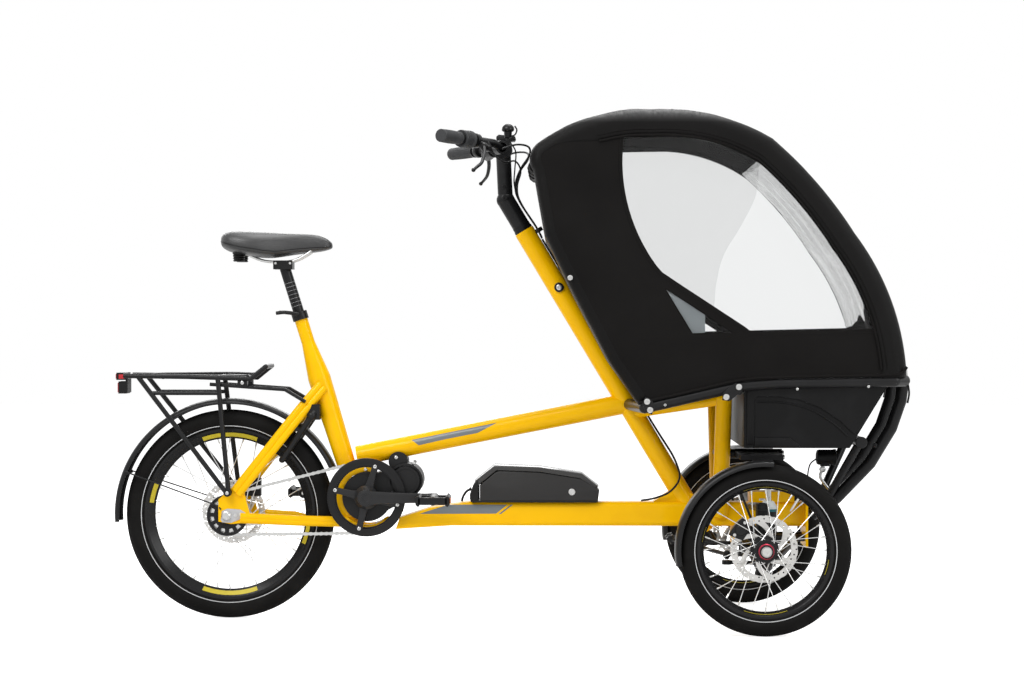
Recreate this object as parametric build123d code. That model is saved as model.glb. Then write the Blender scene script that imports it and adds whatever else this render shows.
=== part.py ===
from build123d import *
import math
import os

# An electric cargo tricycle: a long low frame, two steered and braked front wheels under a
# hooded passenger box, one driven rear wheel, a middle motor and a battery on the lower tube.
# Millimetres. +X is forward, +Y is the rider's left and +Z is up. The origin is on the ground
# under the middle of the machine's length.

# Driving dimensions: wheels
wheelbase = 1303.0
rear_axle_x = -702.0
front_axle_x = rear_axle_x + wheelbase
front_track = 650.0
rear_wheel_r = 260.0
rear_rim_in_r = 188.0
rear_rim_out_r = 213.0
rear_rim_half = 16.0
front_wheel_r = 202.5
front_rim_in_r = 144.0
front_rim_out_r = 160.0
front_rim_half = 14.5
rear_spokes = 36
front_spokes = 28
spoke_r = 1.1
rotor_thick = 2.0
front_rotor_r = 80.0
rear_rotor_r = 80.0
rotor_band = 18.0
rotor_hole_r = 2.6
rotor_holes = 24

# Driving dimensions: frame
steer_lean = 30.9
tube_r = 25.0
lower_side = 60.0
lower_bottom_z = 232.0
lower_front_x = 725.0
lower_rear_x = -203.0
column_top_x = 31.0
column_top_z = 965.0
shaft_r = 14.3
running_gap = 0.05
part_gap = 0.3
seat_lean = 17.35
seat_top_x = -528.0
seat_top_z = 753.0
seat_post_r = 13.6
crank_x = -358.0
crank_z = 305.0
crank_length = 170.0
chain_y = -52.0
chain_pitch = 12.7
chainring_teeth = 44
sprocket_teeth = 24
chainring_r = chain_pitch / (2 * math.sin(math.pi / chainring_teeth))
sprocket_r = chain_pitch / (2 * math.sin(math.pi / sprocket_teeth))
stay_y = 67.5
axle_r = 5.0
axle_half = 90.0
bag_rail_z = 562.5
bag_rail_r = 5.0

# Driving dimensions: passenger box
box_half = 250.0
rail_r = 14.0
rail_half = box_half - rail_r
tub_half = rail_half - rail_r
skin = 4.0
film = 1.2
front_window_half = 200.0

# Driving dimensions: front end
kingpin_y = 250.0
kingpin_bottom_z = 145.0
kingpin_top_z = 292.0
post_y = 150.0
post_x = 517.0
pin_r = 8.0

# Driving dimensions: hood
groove_gap = 9.0

# Driving dimensions: steering gear
bar_r = 11.0
bar_x = -21.0
bar_z = 1166.0
rod_pin_x = 395.0
rod_pin_y = 25.0
rod_pin_z = 200.0
arm_end_x = 518.0
arm_end_y = 236.0
arm_z = 165.0


# Helpers that make the usual shapes of a cycle

def point(x, y, z):
    return Vector(x, y, z)


def joined(shapes):
    """One solid from shapes that overlap or touch."""
    result = shapes[0]
    for shape in shapes[1:]:
        result = result + shape
    return result


def side_face(points):
    """A flat face in the machine's side view, from straight-edged (x, z) points."""
    return make_face(Polyline(*points, close=True))


def slab(face, y_low, y_high):
    """A side-view face given thickness across the machine, from y_low to y_high."""
    return extrude(Plane.XZ.offset(-y_high) * face, amount=y_high - y_low)


def disc(x, z, radius, y_low, y_high):
    """A disc or shaft lying across the machine."""
    return slab(Pos(x, z) * Circle(radius), y_low, y_high)


def ring(x, z, outer, inner, y_low, y_high):
    """A flat ring lying across the machine."""
    return slab(Pos(x, z) * Circle(outer) - Pos(x, z) * Circle(inner), y_low, y_high)


def rod(start, end, radius):
    """A round bar between two points."""
    along = end - start
    base = Plane(origin=start, z_dir=along)
    return base * Cylinder(radius, along.length, align=(Align.CENTER, Align.CENTER, Align.MIN))


def pipe(start, end, outer, inner):
    """A round tube between two points."""
    return rod(start, end, outer) - rod(start, end, inner)


def ball(centre, radius):
    return Pos(centre) * Sphere(radius)


def jointed_bar(points, radius):
    """A round bar of straight runs with a ball at each corner."""
    pieces = [rod(a, b, radius) for a, b in zip(points, points[1:])]
    pieces += [ball(corner, radius) for corner in points[1:-1]]
    return joined(pieces)


def block(x_low, x_high, y_low, y_high, z_low, z_high):
    """A box between stated limits."""
    size = (x_high - x_low, y_high - y_low, z_high - z_low)
    centre = ((x_high + x_low) / 2, (y_high + y_low) / 2, (z_high + z_low) / 2)
    return Pos(*centre) * Box(*size)


def both_sides(shape):
    """The same piece on the left and on the right."""
    return shape + mirror(shape, about=Plane.XZ)


def other_side(shape):
    return mirror(shape, about=Plane.XZ)


def polar(x, z, radius, degrees):
    """A point in the side view at an angle above the forward direction."""
    angle = math.radians(degrees)
    return x + radius * math.cos(angle), z + radius * math.sin(angle)


def arc_band(x, z, outer, inner, first, last):
    """A flat curved band in the side view, from one angle to another."""
    middle = (first + last) / 2
    edges = [
        ThreePointArc(polar(x, z, outer, first), polar(x, z, outer, middle), polar(x, z, outer, last)),
        Line(polar(x, z, outer, last), polar(x, z, inner, last)),
        ThreePointArc(polar(x, z, inner, last), polar(x, z, inner, middle), polar(x, z, inner, first)),
        Line(polar(x, z, inner, first), polar(x, z, outer, first)),
    ]
    return make_face(edges)


# The steering axis leans back, and the seat tube leans back less
lean = math.radians(steer_lean)
steer_up = Vector(-math.sin(lean), 0, math.cos(lean))
column_top = point(column_top_x, 0, column_top_z)
seat_angle = math.radians(seat_lean)
seat_up = Vector(-math.sin(seat_angle), 0, math.cos(seat_angle))
seat_top = point(seat_top_x, 0, seat_top_z)


def on_steer_axis(z):
    """The point of the steering axis at a height."""
    return column_top - steer_up * ((column_top_z - z) / steer_up.Z)


def on_seat_axis(z):
    """The point of the seat tube's axis at a height."""
    return seat_top - seat_up * ((seat_top_z - z) / seat_up.Z)


lower_top_z = lower_bottom_z + lower_side
steer_end_z = lower_bottom_z - 4 - tube_r * math.sin(lean)
steer_front = Vector(math.cos(lean), 0, math.sin(lean))
upper_rear = point(-385, 0, 404)
upper_front = on_steer_axis(536)


# Frame tubes

def steering_tube():
    """The long leaning tube that holds the steering shaft and passes through the lower tube."""
    start = on_steer_axis(steer_end_z)
    wall = 3
    shell = pipe(start, column_top, tube_r, tube_r - wall)
    bearing = 18
    low_ring = pipe(start, start + steer_up * bearing, tube_r - wall, shaft_r + running_gap)
    high_ring = pipe(column_top - steer_up * bearing, column_top, tube_r - wall, shaft_r + running_gap)
    return joined([shell, low_ring, high_ring])


def steering_tube_core():
    """The room that the steering tube takes, cut from the tubes that meet it."""
    return rod(on_steer_axis(steer_end_z), column_top, tube_r)


def lower_tube():
    """The square main tube from the motor to the front wheels, tapered at its rear end."""
    half = lower_side / 2
    outline = side_face([
        (lower_front_x, lower_bottom_z), (lower_front_x, lower_top_z), (-101, lower_top_z),
        (lower_rear_x, 277), (-277, 253), (-288, 223), (-150, lower_bottom_z),
    ])
    tube = slab(outline, -half, half)
    long_edges = tube.edges().filter_by(Axis.X).group_by(Axis.Z)[0]
    top_edges = tube.edges().filter_by(Axis.X).group_by(Axis.Z)[-1]
    tube = fillet(long_edges + top_edges, 12)
    gusset_out = on_steer_axis(330)
    gusset = slab(side_face([
        (gusset_out.X, gusset_out.Z), (gusset_out.X + 75, lower_top_z),
        (gusset_out.X - 60, lower_top_z),
    ]), -18, 18)
    return (tube + gusset) - steering_tube_core()


def upper_tube():
    """The round tube that slopes up from the seat tube to the steering tube."""
    bar = rod(upper_rear, upper_front, tube_r)
    seat_core = rod(on_seat_axis(404), on_seat_axis(650), 27)
    return bar - steering_tube_core() - seat_core


def seat_tube():
    """The tapered seat tube, bored for the seat post."""
    bore_depth = 330
    foot = on_seat_axis(384)
    length = (seat_top - foot).length
    swell = (seat_top - on_seat_axis(600)).length
    profile = make_face(Polyline(
        (0, 0), (23.5, 0), (27, length - swell - 60), (28, length - swell),
        (16.5, length - 70), (16.5, length), (0, length), close=True,
    ))
    solid = revolve(Plane.XZ * profile, axis=Axis.Z)
    placed = Plane(origin=foot, x_dir=(0, 1, 0), z_dir=seat_up) * solid
    bore = rod(seat_top - seat_up * bore_depth, seat_top + seat_up, seat_post_r + running_gap)
    return placed - bore


def chain_stay():
    """The left chainstay: two bars joined as one oval tube."""
    return joined([
        jointed_bar([
            point(-300, 27, z), point(-440, 33, z + 5), point(-530, 53, z + 9), point(-668, 76, z + 17),
        ], 9) for z in (242, 234)
    ])


def seat_stay():
    """The left seat stay: two bars joined as one oval tube."""
    return joined([
        jointed_bar([
            point(x, 76, z), point(x + 123, 55, z + 157), point(x + 155, 47, z + 198),
            point(x + 209, 26, z + 263),
        ], 9.5) for x, z in ((-683, 322), (-673, 312))
    ])


def rear_stays():
    """The chainstays, the seat stays and the plates that hold the rear axle."""
    plate = slab(side_face([
        (-722, 300), (-690, 330), (-662, 330), (-645, 268), (-650, 244), (-690, 240),
        (-722, 246),
    ]), stay_y, stay_y + 7)
    side = joined([chain_stay(), seat_stay(), plate])
    side = side - disc(rear_axle_x, rear_wheel_r, 5, stay_y - 2, stay_y + 9)
    stays = both_sides(side)
    bridge = rod(point(-330, -30, 240), point(-330, 30, 240), 10)
    seat_core = rod(on_seat_axis(384), on_seat_axis(700), 28)
    return (stays + bridge) - seat_core - disc(crank_x, crank_z, 70, -45, 45) - motor_room()


def motor_room():
    """The room that the motor and the lower tube take, kept clear of the stays."""
    return block(-300, -200, -31, 31, 215, 300)


def motor_bracket():
    """The curved welded shells that carry the motor between the seat tube and the lower tube."""
    arc = slab(arc_band(crank_x, crank_z, 84, 62, 72, 262), -26, 26)
    seat_core = rod(on_seat_axis(384), on_seat_axis(700), 28)
    upper_core = rod(upper_rear, upper_front, tube_r)
    bridge = rod(point(-330, -30, 240), point(-330, 30, 240), 10)
    return arc - seat_core - upper_core - both_sides(chain_stay()) - bridge - motor_room()


def front_posts():
    """Two splayed posts under the box, and the two bars that tie their tops to the steering tube."""
    top_z = 556
    post = rod(point(post_x, 24, 262), point(post_x, post_y, top_z), 20)
    bar = rod(point(on_steer_axis(512).X, 8, 512), point(post_x, post_y, 551), 13)
    side = joined([post, bar, ball(point(post_x, post_y, top_z), 20)])
    half = lower_side / 2
    lower_core = block(400, lower_front_x, -half, half, lower_bottom_z, lower_top_z)
    return both_sides(side) - lower_core - steering_tube_core()


def front_bulkhead():
    """The hanging plates that carry the lower arms, and the plate on the tube's front end."""
    half = lower_side / 2
    rear_plate = block(548, 554, -52, 52, 186, lower_bottom_z)
    front_plate = block(lower_front_x, lower_front_x + 6, -60, 60, 183, 300)
    saddle_block = block(590, 700, -half, half, lower_top_z, lower_top_z + 26)
    return Compound(children=[rear_plate, front_plate, saddle_block])


# Drive

def motor():
    """The middle motor: its main case around the crank shaft and the bell ahead of it."""
    case = disc(crank_x, crank_z, 61.5, -36, 36)
    bell = disc(-262, 345, 43, -42, 42)
    waist = slab(side_face([(-345, 360), (-262, 386), (-225, 330), (-270, 290), (-330, 260)]), -36, 36)
    bump = disc(-281, 392, 24, -30, 30)
    body = joined([case, bell, waist, bump])
    body = body - rod(upper_rear, upper_front, tube_r + 0.2)
    body = body - disc(crank_x, crank_z, 12 + running_gap, -60, 60)
    tube_room = block(-340, -200, -31, 31, 200, 279)
    return body - tube_room


def battery():
    """The battery on the lower tube, with its rear connector cap."""
    outline = side_face([
        (-100, lower_top_z), (-104, 306), (-92, 342), (-40, 385), (70, 380), (176, 364), (219, 330),
        (214, lower_top_z),
    ])
    case = slab(outline, -42, 42)
    return fillet(case.edges().filter_by(Axis.Y).group_by(Axis.Z)[-1], 10)


def crankset():
    """The shaft, both crank arms, the four-armed spider, the toothed ring and its guard."""
    shaft = disc(crank_x, crank_z, 12, -86, 86)
    right_arm = crank_arm(1, -88, -74)
    left_arm = crank_arm(-1, 74, 88)
    boss = disc(crank_x, crank_z, 27, -78, -46)
    toothed = slab(
        Pos(crank_x, crank_z) * (toothed_face(chainring_teeth, chainring_r) - Circle(68)),
        chain_y - 1, chain_y + 1)
    guard = ring(crank_x, crank_z, 97, 80, chain_y - 9, chain_y - 6.5)
    bolt_ring = ring(crank_x, crank_z, 83.5, 74, chain_y - 8, chain_y + 0.5)
    arms = [slab(spider_arm_face(degrees), chain_y - 7, chain_y - 2) for degrees in (74, 167, 257, 347)]
    return joined([shaft, right_arm, left_arm, boss, toothed, guard, bolt_ring] + arms)


def toothed_face(teeth, pitch_r):
    """The side view of a chain wheel about its own centre: one pointed tooth between two rollers."""
    root_r = pitch_r - 3.6
    tip_r = pitch_r + 3.4
    step = 360 / teeth
    corners = []
    for index in range(teeth):
        middle = step * index
        corners += [
            polar(0, 0, root_r, middle - step * 0.42), polar(0, 0, pitch_r, middle - step * 0.21),
            polar(0, 0, tip_r, middle - step * 0.08), polar(0, 0, tip_r, middle + step * 0.08),
            polar(0, 0, pitch_r, middle + step * 0.21), polar(0, 0, root_r, middle + step * 0.42),
        ]
    return side_face(corners)


def spider_arm_face(degrees):
    """The side view of one of the four arms that carry the toothed ring."""
    root = [polar(crank_x, crank_z, 22, degrees + turn) for turn in (28, -28)]
    tip = [polar(crank_x, crank_z, 79, degrees + turn) for turn in (-5, 5)]
    return side_face(root + tip)


def crank_arm(direction, y_low, y_high):
    """One crank arm, level, with its eye for the pedal's spindle."""
    end_x = crank_x + direction * crank_length
    blade = slab(side_face([
        (crank_x, crank_z - 15), (crank_x, crank_z + 15), (end_x, crank_z + 11), (end_x, crank_z - 11),
    ]), y_low, y_high)
    arm = joined([
        blade, disc(crank_x, crank_z, 20, y_low, y_high), disc(end_x, crank_z, 13, y_low, y_high),
    ])
    return arm - disc(end_x, crank_z, 5 + running_gap, y_low - 1, y_high + 1)


def pedal(direction, side):
    """One pedal, with the spindle that turns in its crank arm."""
    x = crank_x + direction * crank_length
    inner = 91 * side
    outer = 184 * side
    body = block(x - 42, x + 42, min(inner, outer), max(inner, outer), crank_z - 13, crank_z + 13)
    window = block(x - 34, x - 15, min(inner, outer) + 12, max(inner, outer) - 12, crank_z - 14, crank_z + 14)
    other = block(x + 15, x + 34, min(inner, outer) + 12, max(inner, outer) - 12, crank_z - 14, crank_z + 14)
    spindle = disc(x, crank_z, 5, min(75 * side, 100 * side), max(75 * side, 100 * side))
    return (body - window - other) + spindle


def belt_face(radius_back, radius_front):
    """The side view of a belt's outside around the sprocket and the chainring."""
    dx = crank_x - rear_axle_x
    dz = crank_z - rear_wheel_r
    reach = math.hypot(dx, dz)
    tilt = math.degrees(math.atan2(dz, dx))
    spread = math.degrees(math.acos((radius_back - radius_front) / reach))
    corners = [
        polar(rear_axle_x, rear_wheel_r, radius_back, tilt + spread),
        polar(crank_x, crank_z, radius_front, tilt + spread),
        polar(crank_x, crank_z, radius_front, tilt - spread),
        polar(rear_axle_x, rear_wheel_r, radius_back, tilt - spread),
    ]
    back = Pos(rear_axle_x, rear_wheel_r) * Circle(radius_back)
    front = Pos(crank_x, crank_z) * Circle(radius_front)
    return back + front + make_face(Polyline(*corners, close=True))


def chain():
    """The chain as one loop: two rows of link plates, tied by pins along its straight runs."""
    height = 4.2
    loop = belt_face(sprocket_r + height, chainring_r + height)
    loop = loop - belt_face(sprocket_r - height, chainring_r - height)
    near = slab(loop, chain_y - 3.8, chain_y - 1.8)
    far = slab(loop, chain_y + 1.8, chain_y + 3.8)
    ties = []
    for share in (0.35, 0.5, 0.65):
        for sign in (1, -1):
            ties.append(chain_tie(share, sign))
    return joined([near, far] + ties)


def chain_tie(share, sign):
    """A pin across the chain, part of the way along its upper or lower run."""
    dx = crank_x - rear_axle_x
    dz = crank_z - rear_wheel_r
    tilt = math.degrees(math.atan2(dz, dx))
    spread = math.degrees(math.acos((sprocket_r - chainring_r) / math.hypot(dx, dz)))
    back = polar(rear_axle_x, rear_wheel_r, sprocket_r, tilt + sign * spread)
    front = polar(crank_x, crank_z, chainring_r, tilt + sign * spread)
    x = back[0] + share * (front[0] - back[0])
    z = back[1] + share * (front[1] - back[1])
    return disc(x, z, 3.6, chain_y - 3, chain_y + 3)


# Wheels, each made about its own centre and then moved to its axle

def at_rear_axle(shape):
    return Pos(rear_axle_x, 0, rear_wheel_r) * shape


def at_front_axle(shape):
    return Pos(front_axle_x, front_track / 2, front_wheel_r) * shape


def tyre(outer, rim_out, rim_half):
    """A tyre: a round tread carried down to both rim edges."""
    edges = [
        ThreePointArc((-rim_half, rim_out), (0, outer), (rim_half, rim_out)),
        Line((rim_half, rim_out), (-rim_half, rim_out)),
    ]
    return revolve(Plane.YZ * make_face(edges), axis=Axis.Y)


def rim(rim_in, rim_out, rim_half):
    """A deep rim with sloping sides."""
    well = 5
    face = make_face(Polyline(
        (-rim_half, rim_out), (rim_half, rim_out), (rim_half, rim_out - 7), (well, rim_in),
        (-well, rim_in), (-rim_half, rim_out - 7), close=True,
    ))
    return revolve(Plane.YZ * face, axis=Axis.Y)


def turned(points):
    """A body turned about the wheel's own axis, from (across, radius) points."""
    return revolve(Plane.YZ * make_face(Polyline(*points, close=True)), axis=Axis.Y)


def spokes(count, flange_r, flange_y, rim_in):
    """Crossed spokes from the hub's two flanges to the rim."""
    cross = 46
    bars = []
    for index in range(count):
        rim_angle = math.radians(360 * index / count)
        swing = math.radians(cross if index % 4 < 2 else -cross)
        side = 1 if index % 2 == 0 else -1
        hub_angle = rim_angle + swing
        start = point(flange_r * math.cos(hub_angle), side * flange_y, flange_r * math.sin(hub_angle))
        reach = rim_in + 1.5
        end = point(reach * math.cos(rim_angle), side * 3, reach * math.sin(rim_angle))
        bars.append(rod(start, end, spoke_r))
    return bars


def rear_wheel():
    """The rear rim, its spokes and the geared hub."""
    bore = 5 + running_gap
    hub = turned([
        (-44, bore), (-44, 30), (-30, 46), (-27, 46), (-24, 40), (24, 40), (27, 46), (30, 46),
        (36, 30), (50, 24), (60, 24), (60, bore),
    ])
    body = rim(rear_rim_in_r, rear_rim_out_r, rear_rim_half)
    return at_rear_axle(joined([hub, body] + spokes(rear_spokes, 44, 28, rear_rim_in_r)))


def front_wheel():
    """A front rim, its spokes and the hub that turns on the knuckle's axle."""
    bore = 10 + running_gap
    hub = turned([
        (-32, bore), (-32, 24), (-20, 24), (-18, 34), (-14, 34), (-11, 22), (18, 19),
        (20, 27), (24, 27), (26, 20), (34, 20), (34, bore),
    ])
    body = rim(front_rim_in_r, front_rim_out_r, front_rim_half)
    left = at_front_axle(joined([hub, body] + spokes(front_spokes, 26, 17, front_rim_in_r)))
    return left


def rotor(radius, hub_r, y):
    """A brake disc with its carrier arms, mounted on a hub's shoulder."""
    half = rotor_thick / 2
    band_face = Circle(radius) - Circle(radius - rotor_band)
    for index in range(rotor_holes):
        reach = radius - rotor_band * (0.3 if index % 2 else 0.66)
        band_face = band_face - Pos(*polar(0, 0, reach, 360 * index / rotor_holes)) * Circle(rotor_hole_r)
    band = slab(band_face, y - half, y + half)
    carrier = ring(0, 0, hub_r + 9, hub_r, y - half, y + half)
    arms = []
    for index in range(6):
        start = polar(0, 0, hub_r + 5, 60 * index)
        end = polar(0, 0, radius - rotor_band + 0.5, 60 * index + 38)
        direction = Vector(end[0] - start[0], end[1] - start[1])
        across = Vector(-direction.Y, direction.X).normalized() * 3.5
        face = side_face([
            (start[0] + across.X, start[1] + across.Y), (end[0] + across.X, end[1] + across.Y),
            (end[0] - across.X, end[1] - across.Y), (start[0] - across.X, start[1] - across.Y),
        ])
        arms.append(slab(face, y - half, y + half))
    return joined([band, carrier] + arms)


def sprocket():
    """The rear sprocket and its round cover, on the hub's driver."""
    teeth = slab(toothed_face(sprocket_teeth, sprocket_r) - Circle(24), chain_y - 1, chain_y + 1)
    cover = ring(0, 0, 51, 24, chain_y - 7, chain_y - 5)
    sleeve = ring(0, 0, 30, 5 + running_gap, chain_y - 7, -44)
    return at_rear_axle(joined([teeth, cover, sleeve]))


def rear_axle():
    """The fixed rear axle with a nut on each end."""
    z = rear_wheel_r
    shaft = disc(rear_axle_x, z, axle_r, -axle_half, axle_half)
    nuts = both_sides(disc(rear_axle_x, z, 11, stay_y + 7, stay_y + 16))
    return shaft + nuts


def rear_caliper():
    """The rear brake caliper, inside the left stays."""
    body = block(-672, -632, 45, 65, 300, 345)
    slot = disc(rear_axle_x, rear_wheel_r, rear_rotor_r + 3, 50, 60)
    mount = block(-664, -648, 60, stay_y, 300, 328)
    return ((body - slot) + mount) - seat_stay()


# Seat

def seat_collar():
    """The clamp ring at the seat tube's top, with its quick lever."""
    top = seat_top
    clamp = pipe(top - seat_up * 10, top + seat_up * 10, 20, seat_post_r + 0.3)
    clamp = clamp - rod(top - seat_up * 12, top, 16.5)
    lever = rod(top + point(0, -22, 4), top + point(-48, -30, 10), 4)
    bolt = rod(top + point(0, -24, 4), top + point(0, 24, 4), 4)
    return joined([clamp, lever, bolt - rod(top - seat_up * 30, top + seat_up * 30, seat_post_r + 0.3)])


def saddle_rail():
    """The left rail under the saddle."""
    return jointed_bar([
        point(-500, 22, 915), point(-548, 20, 889), point(-610, 20, 889), point(-668, 22, 915),
    ], 3.5)


def seat_post():
    """The seat post, with the clamp that holds the saddle's rails."""
    foot = seat_top - seat_up * 200
    head = seat_top + seat_up * 128
    post = rod(foot, head, seat_post_r)
    clamp = block(head.X - 26, head.X + 22, -24, 24, head.Z - 6, head.Z + 16)
    return (post + clamp) - both_sides(saddle_rail())


def saddle():
    """The padded saddle and its two rails."""
    outline = side_face([
        (-723, 945), (-716, 960), (-700, 966), (-650, 964), (-590, 961), (-510, 960), (-460, 948),
        (-445, 924), (-520, 920), (-560, 900), (-602, 887), (-660, 892), (-700, 905), (-718, 925),
    ])
    plan = make_face(Spline(
        (-723, 0), (-700, 66), (-650, 84), (-600, 68), (-540, 34), (-470, 22), (-445, 0),
        (-470, -22), (-540, -34), (-600, -68), (-650, -84), (-700, -66), periodic=True,
    ))
    pad = slab(outline, -90, 90) & extrude(Plane.XY.offset(850) * plan, amount=150)
    clamp_room = block(-592, -544, -24, 24, 860, 891.4)
    return (pad - clamp_room) + both_sides(saddle_rail())


# Rear rack and mudguard

def rear_mudguard():
    """The rear mudguard with rolled sides, and the wire stays that hold it."""
    z = rear_wheel_r
    outer = 289
    crown = slab(arc_band(rear_axle_x, z, outer, outer - 3, 24, 185), -31, 31)
    lip = slab(arc_band(rear_axle_x, z, outer - 1, outer - 17, 24, 185), 29, 31)
    tip = polar(rear_axle_x, z, outer - 14, 158)
    wire = rod(point(tip[0], 30, tip[1]), point(-722.2, 71, z + 24), 1.8)
    return joined([crown, both_sides(lip), both_sides(wire)])


def rack():
    """The tubular luggage rack, from the axle plates up to the deck."""
    half = 63
    foot_y = 92
    rail = jointed_bar([
        point(-958, half, 605), point(-800, half, 603), point(-643, half, 598), point(-606, half, 628),
    ], 6)
    rear_strut = rod(point(-922, half, 603), point(-700, foot_y, 318), 6)
    front_strut = rod(point(-725, half, 600), point(-694, foot_y, 318), 6)
    tie = rod(point(-889, half + 3.5, bag_rail_z), point(-721, half + 3.5, bag_rail_z), bag_rail_r)
    foot = disc(-697, 318, 9, stay_y + 7, foot_y + 6) - seat_stay()
    clamp = block(-676, -652, 45, half, 578, 599)
    stay = jointed_bar([point(-746, 51, 584), point(-560, 51, 571), point(-509, 54, 541)], 4.5)
    side = joined([rail, rear_strut, front_strut, tie, foot, clamp, stay])
    side = side - seat_stay()
    cross_bars = [rod(point(x, -half, 602), point(x, half, 602), 5) for x in (-950, -860, -725, -650)]
    deck = [rod(point(-950, y, 603), point(-650, y, 602), 4) for y in (-22, 22)]
    loop = rod(point(-606, -half, 628), point(-606, half, 628), 6)
    corners = [ball(point(-606, y, 628), 6) for y in (-half, half)]
    return joined([both_sides(side)] + cross_bars + deck + [loop] + corners)


def tail_light():
    """The tail lamp with its reflector, on the rack's rear end."""
    lamp = block(-982, -958, -32, 32, 594, 612)
    reflector = block(-978, -958, -26, 26, 560, 590)
    plate = block(-960, -955, -26, 26, 562, 600)
    return joined([lamp, reflector, plate])


def ring_lock():
    """The horseshoe wheel lock ahead of the seat stays, with its legs beside the tyre."""
    y = 45
    foot = point(-568, y, 397)
    shoulder = point(-494, y, 506)
    leg = rod(foot, shoulder, 8)
    far_shoulder = shoulder + point(0, -2 * y, 0)
    top = jointed_bar([shoulder, point(-486, y - 12, 517), point(-486, 12 - y, 517), far_shoulder], 12)
    body = block(-506, -474, -48, -20, 496, 534)
    lug = rod(point(-519, y, 468), point(-546, y + 8, 478), 5)
    sides = both_sides(joined([leg, ball(shoulder, 12), ball(foot, 8), lug]))
    seat_core = rod(on_seat_axis(384), on_seat_axis(700), 28.3)
    return joined([sides, top, body]) - seat_core - both_sides(seat_stay())


# Passenger box

def box_rail():
    """The bent rail around the box's floor line, its nose, and the cross tubes that carry it."""
    rear_z = 534
    nose_x = 955
    nose_z = 598
    side = jointed_bar([
        point(322, rail_half, rear_z), point(548, rail_half, 586), point(640, rail_half, 593),
        point(918, rail_half, nose_z),
    ], rail_r)
    nose = jointed_bar([
        point(918, rail_half, nose_z), point(945, rail_half - 36, nose_z),
        point(nose_x, rail_half - 110, nose_z), point(nose_x, 110 - rail_half, nose_z),
        point(945, 36 - rail_half, nose_z), point(918, -rail_half, nose_z),
    ], rail_r)
    tube_x = on_steer_axis(rear_z).X
    rear = jointed_bar([
        point(322, rail_half, rear_z), point(tube_x, 0, rear_z), point(322, -rail_half, rear_z),
    ], rail_r)
    corners = [both_sides(ball(point(x, rail_half, z), rail_r)) for x, z in ((918, nose_z), (322, rear_z))]
    cross = rod(point(547, -rail_half, 573), point(547, rail_half, 573), 8)
    whole = joined([both_sides(side), nose, rear, cross] + corners)
    return whole - steering_tube_core() - rod(upper_rear, upper_front, tube_r)


def tub():
    """The pressed tub under the seat: side walls, foot well and seat floor."""
    outer = side_face([
        (345, 560), (559, 590), (559, 437), (812, 437), (829, 465), (905, 590), (905, 612), (345, 582),
    ])
    inner = side_face([
        (345, 564), (563, 594), (563, 441), (810, 441), (825, 467), (901, 592), (901, 640), (345, 640),
    ])
    body = slab(outer, -tub_half, tub_half)
    hollow = slab(inner, -tub_half + skin, tub_half - skin)
    return body - hollow


def hood_outline():
    """The hood's side view: a rounded nose and top, a straight rear edge and a bent foot."""
    return [
        ThreePointArc((945, 640), (909, 794), (823, 950)),
        ThreePointArc((823, 950), (734, 1070), (627, 1176)),
        ThreePointArc((627, 1176), (490, 1232), (338, 1246)),
        ThreePointArc((338, 1246), (190, 1227), (66, 1166)),
        ThreePointArc((66, 1166), (49, 1140), (56, 1100)),
        Polyline((56, 1100), (84, 943), (151, 805), (236, 643), (306, 541)),
        Polyline((306, 541), (548, 596.2), (640, 603.2), (922, 608.2), (945, 640)),
    ]


def hood_prism(inset):
    """The hood's outside, or the room inside it at an inset from that outside."""
    face = make_face(hood_outline())
    if inset:
        face = offset(face, -inset)
    solid = slab(face, inset - box_half, box_half - inset)
    groove = rod(on_steer_axis(500), on_steer_axis(1180), tube_r + groove_gap + inset)
    return solid - groove


def side_window_face():
    """The large side window's outline, with its slanted lower rear edge."""
    return make_face([
        ThreePointArc((866, 722), (803, 867), (705, 1007)),
        ThreePointArc((705, 1007), (567, 1131), (398, 1179)),
        Line((398, 1179), (272, 1177)),
        ThreePointArc((272, 1177), (286, 1000), (363, 855)),
        Polyline((363, 855), (529, 722), (579, 715), (866, 722)),
    ])


def corner_window_face():
    """The small three-cornered side window under the slanted band."""
    return side_face([(372, 817), (434, 712), (520, 714)])


def front_window_room():
    """The block of space across the nose that the front window takes."""
    return block(600, 990, -front_window_half, front_window_half, 700, 1146)


def hood():
    """The folding hood as a hollow shell, open below, with its side and front windows cut."""
    shell = hood_prism(0) - hood_prism(skin)
    inner = box_half - skin
    foot = slab(side_face([
        (309, 530), (548, 580), (640, 590), (941, 590), (941, 645), (640, 620), (548, 612), (325, 565),
    ]), -inner, inner)
    shell = shell - foot
    shell = shell - slab(side_window_face(), -box_half - 1, box_half + 1)
    shell = shell - slab(corner_window_face(), -box_half - 1, box_half + 1)
    return shell - front_window_room() - box_rail()


def hood_windows():
    """The clear panes: two on each side and one across the nose."""
    y = box_half - skin / 2
    side = both_sides(slab(side_window_face(), y - film / 2, y + film / 2))
    corner = both_sides(slab(corner_window_face(), y - film / 2, y + film / 2))
    outer = hood_prism((skin - film) / 2)
    inner = hood_prism((skin + film) / 2)
    nose = (outer - inner) & front_window_room()
    return Compound(children=list(side.solids()) + list(corner.solids()) + list(nose.solids()))


def headlight():
    """The head lamp on its small bracket."""
    lamp = rod(point(757, 0, 402), point(806, 0, 402), 19)
    bracket = joined([
        rod(point(776, 0, 386), point(774, 0, 350), 4), ball(point(774, 0, 350), 4),
        rod(point(774, 0, 350), point(800, 0, 306), 4),
    ])
    return lamp + (bracket - rod(point(800, -70, 306), point(800, 70, 306), 8))


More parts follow.
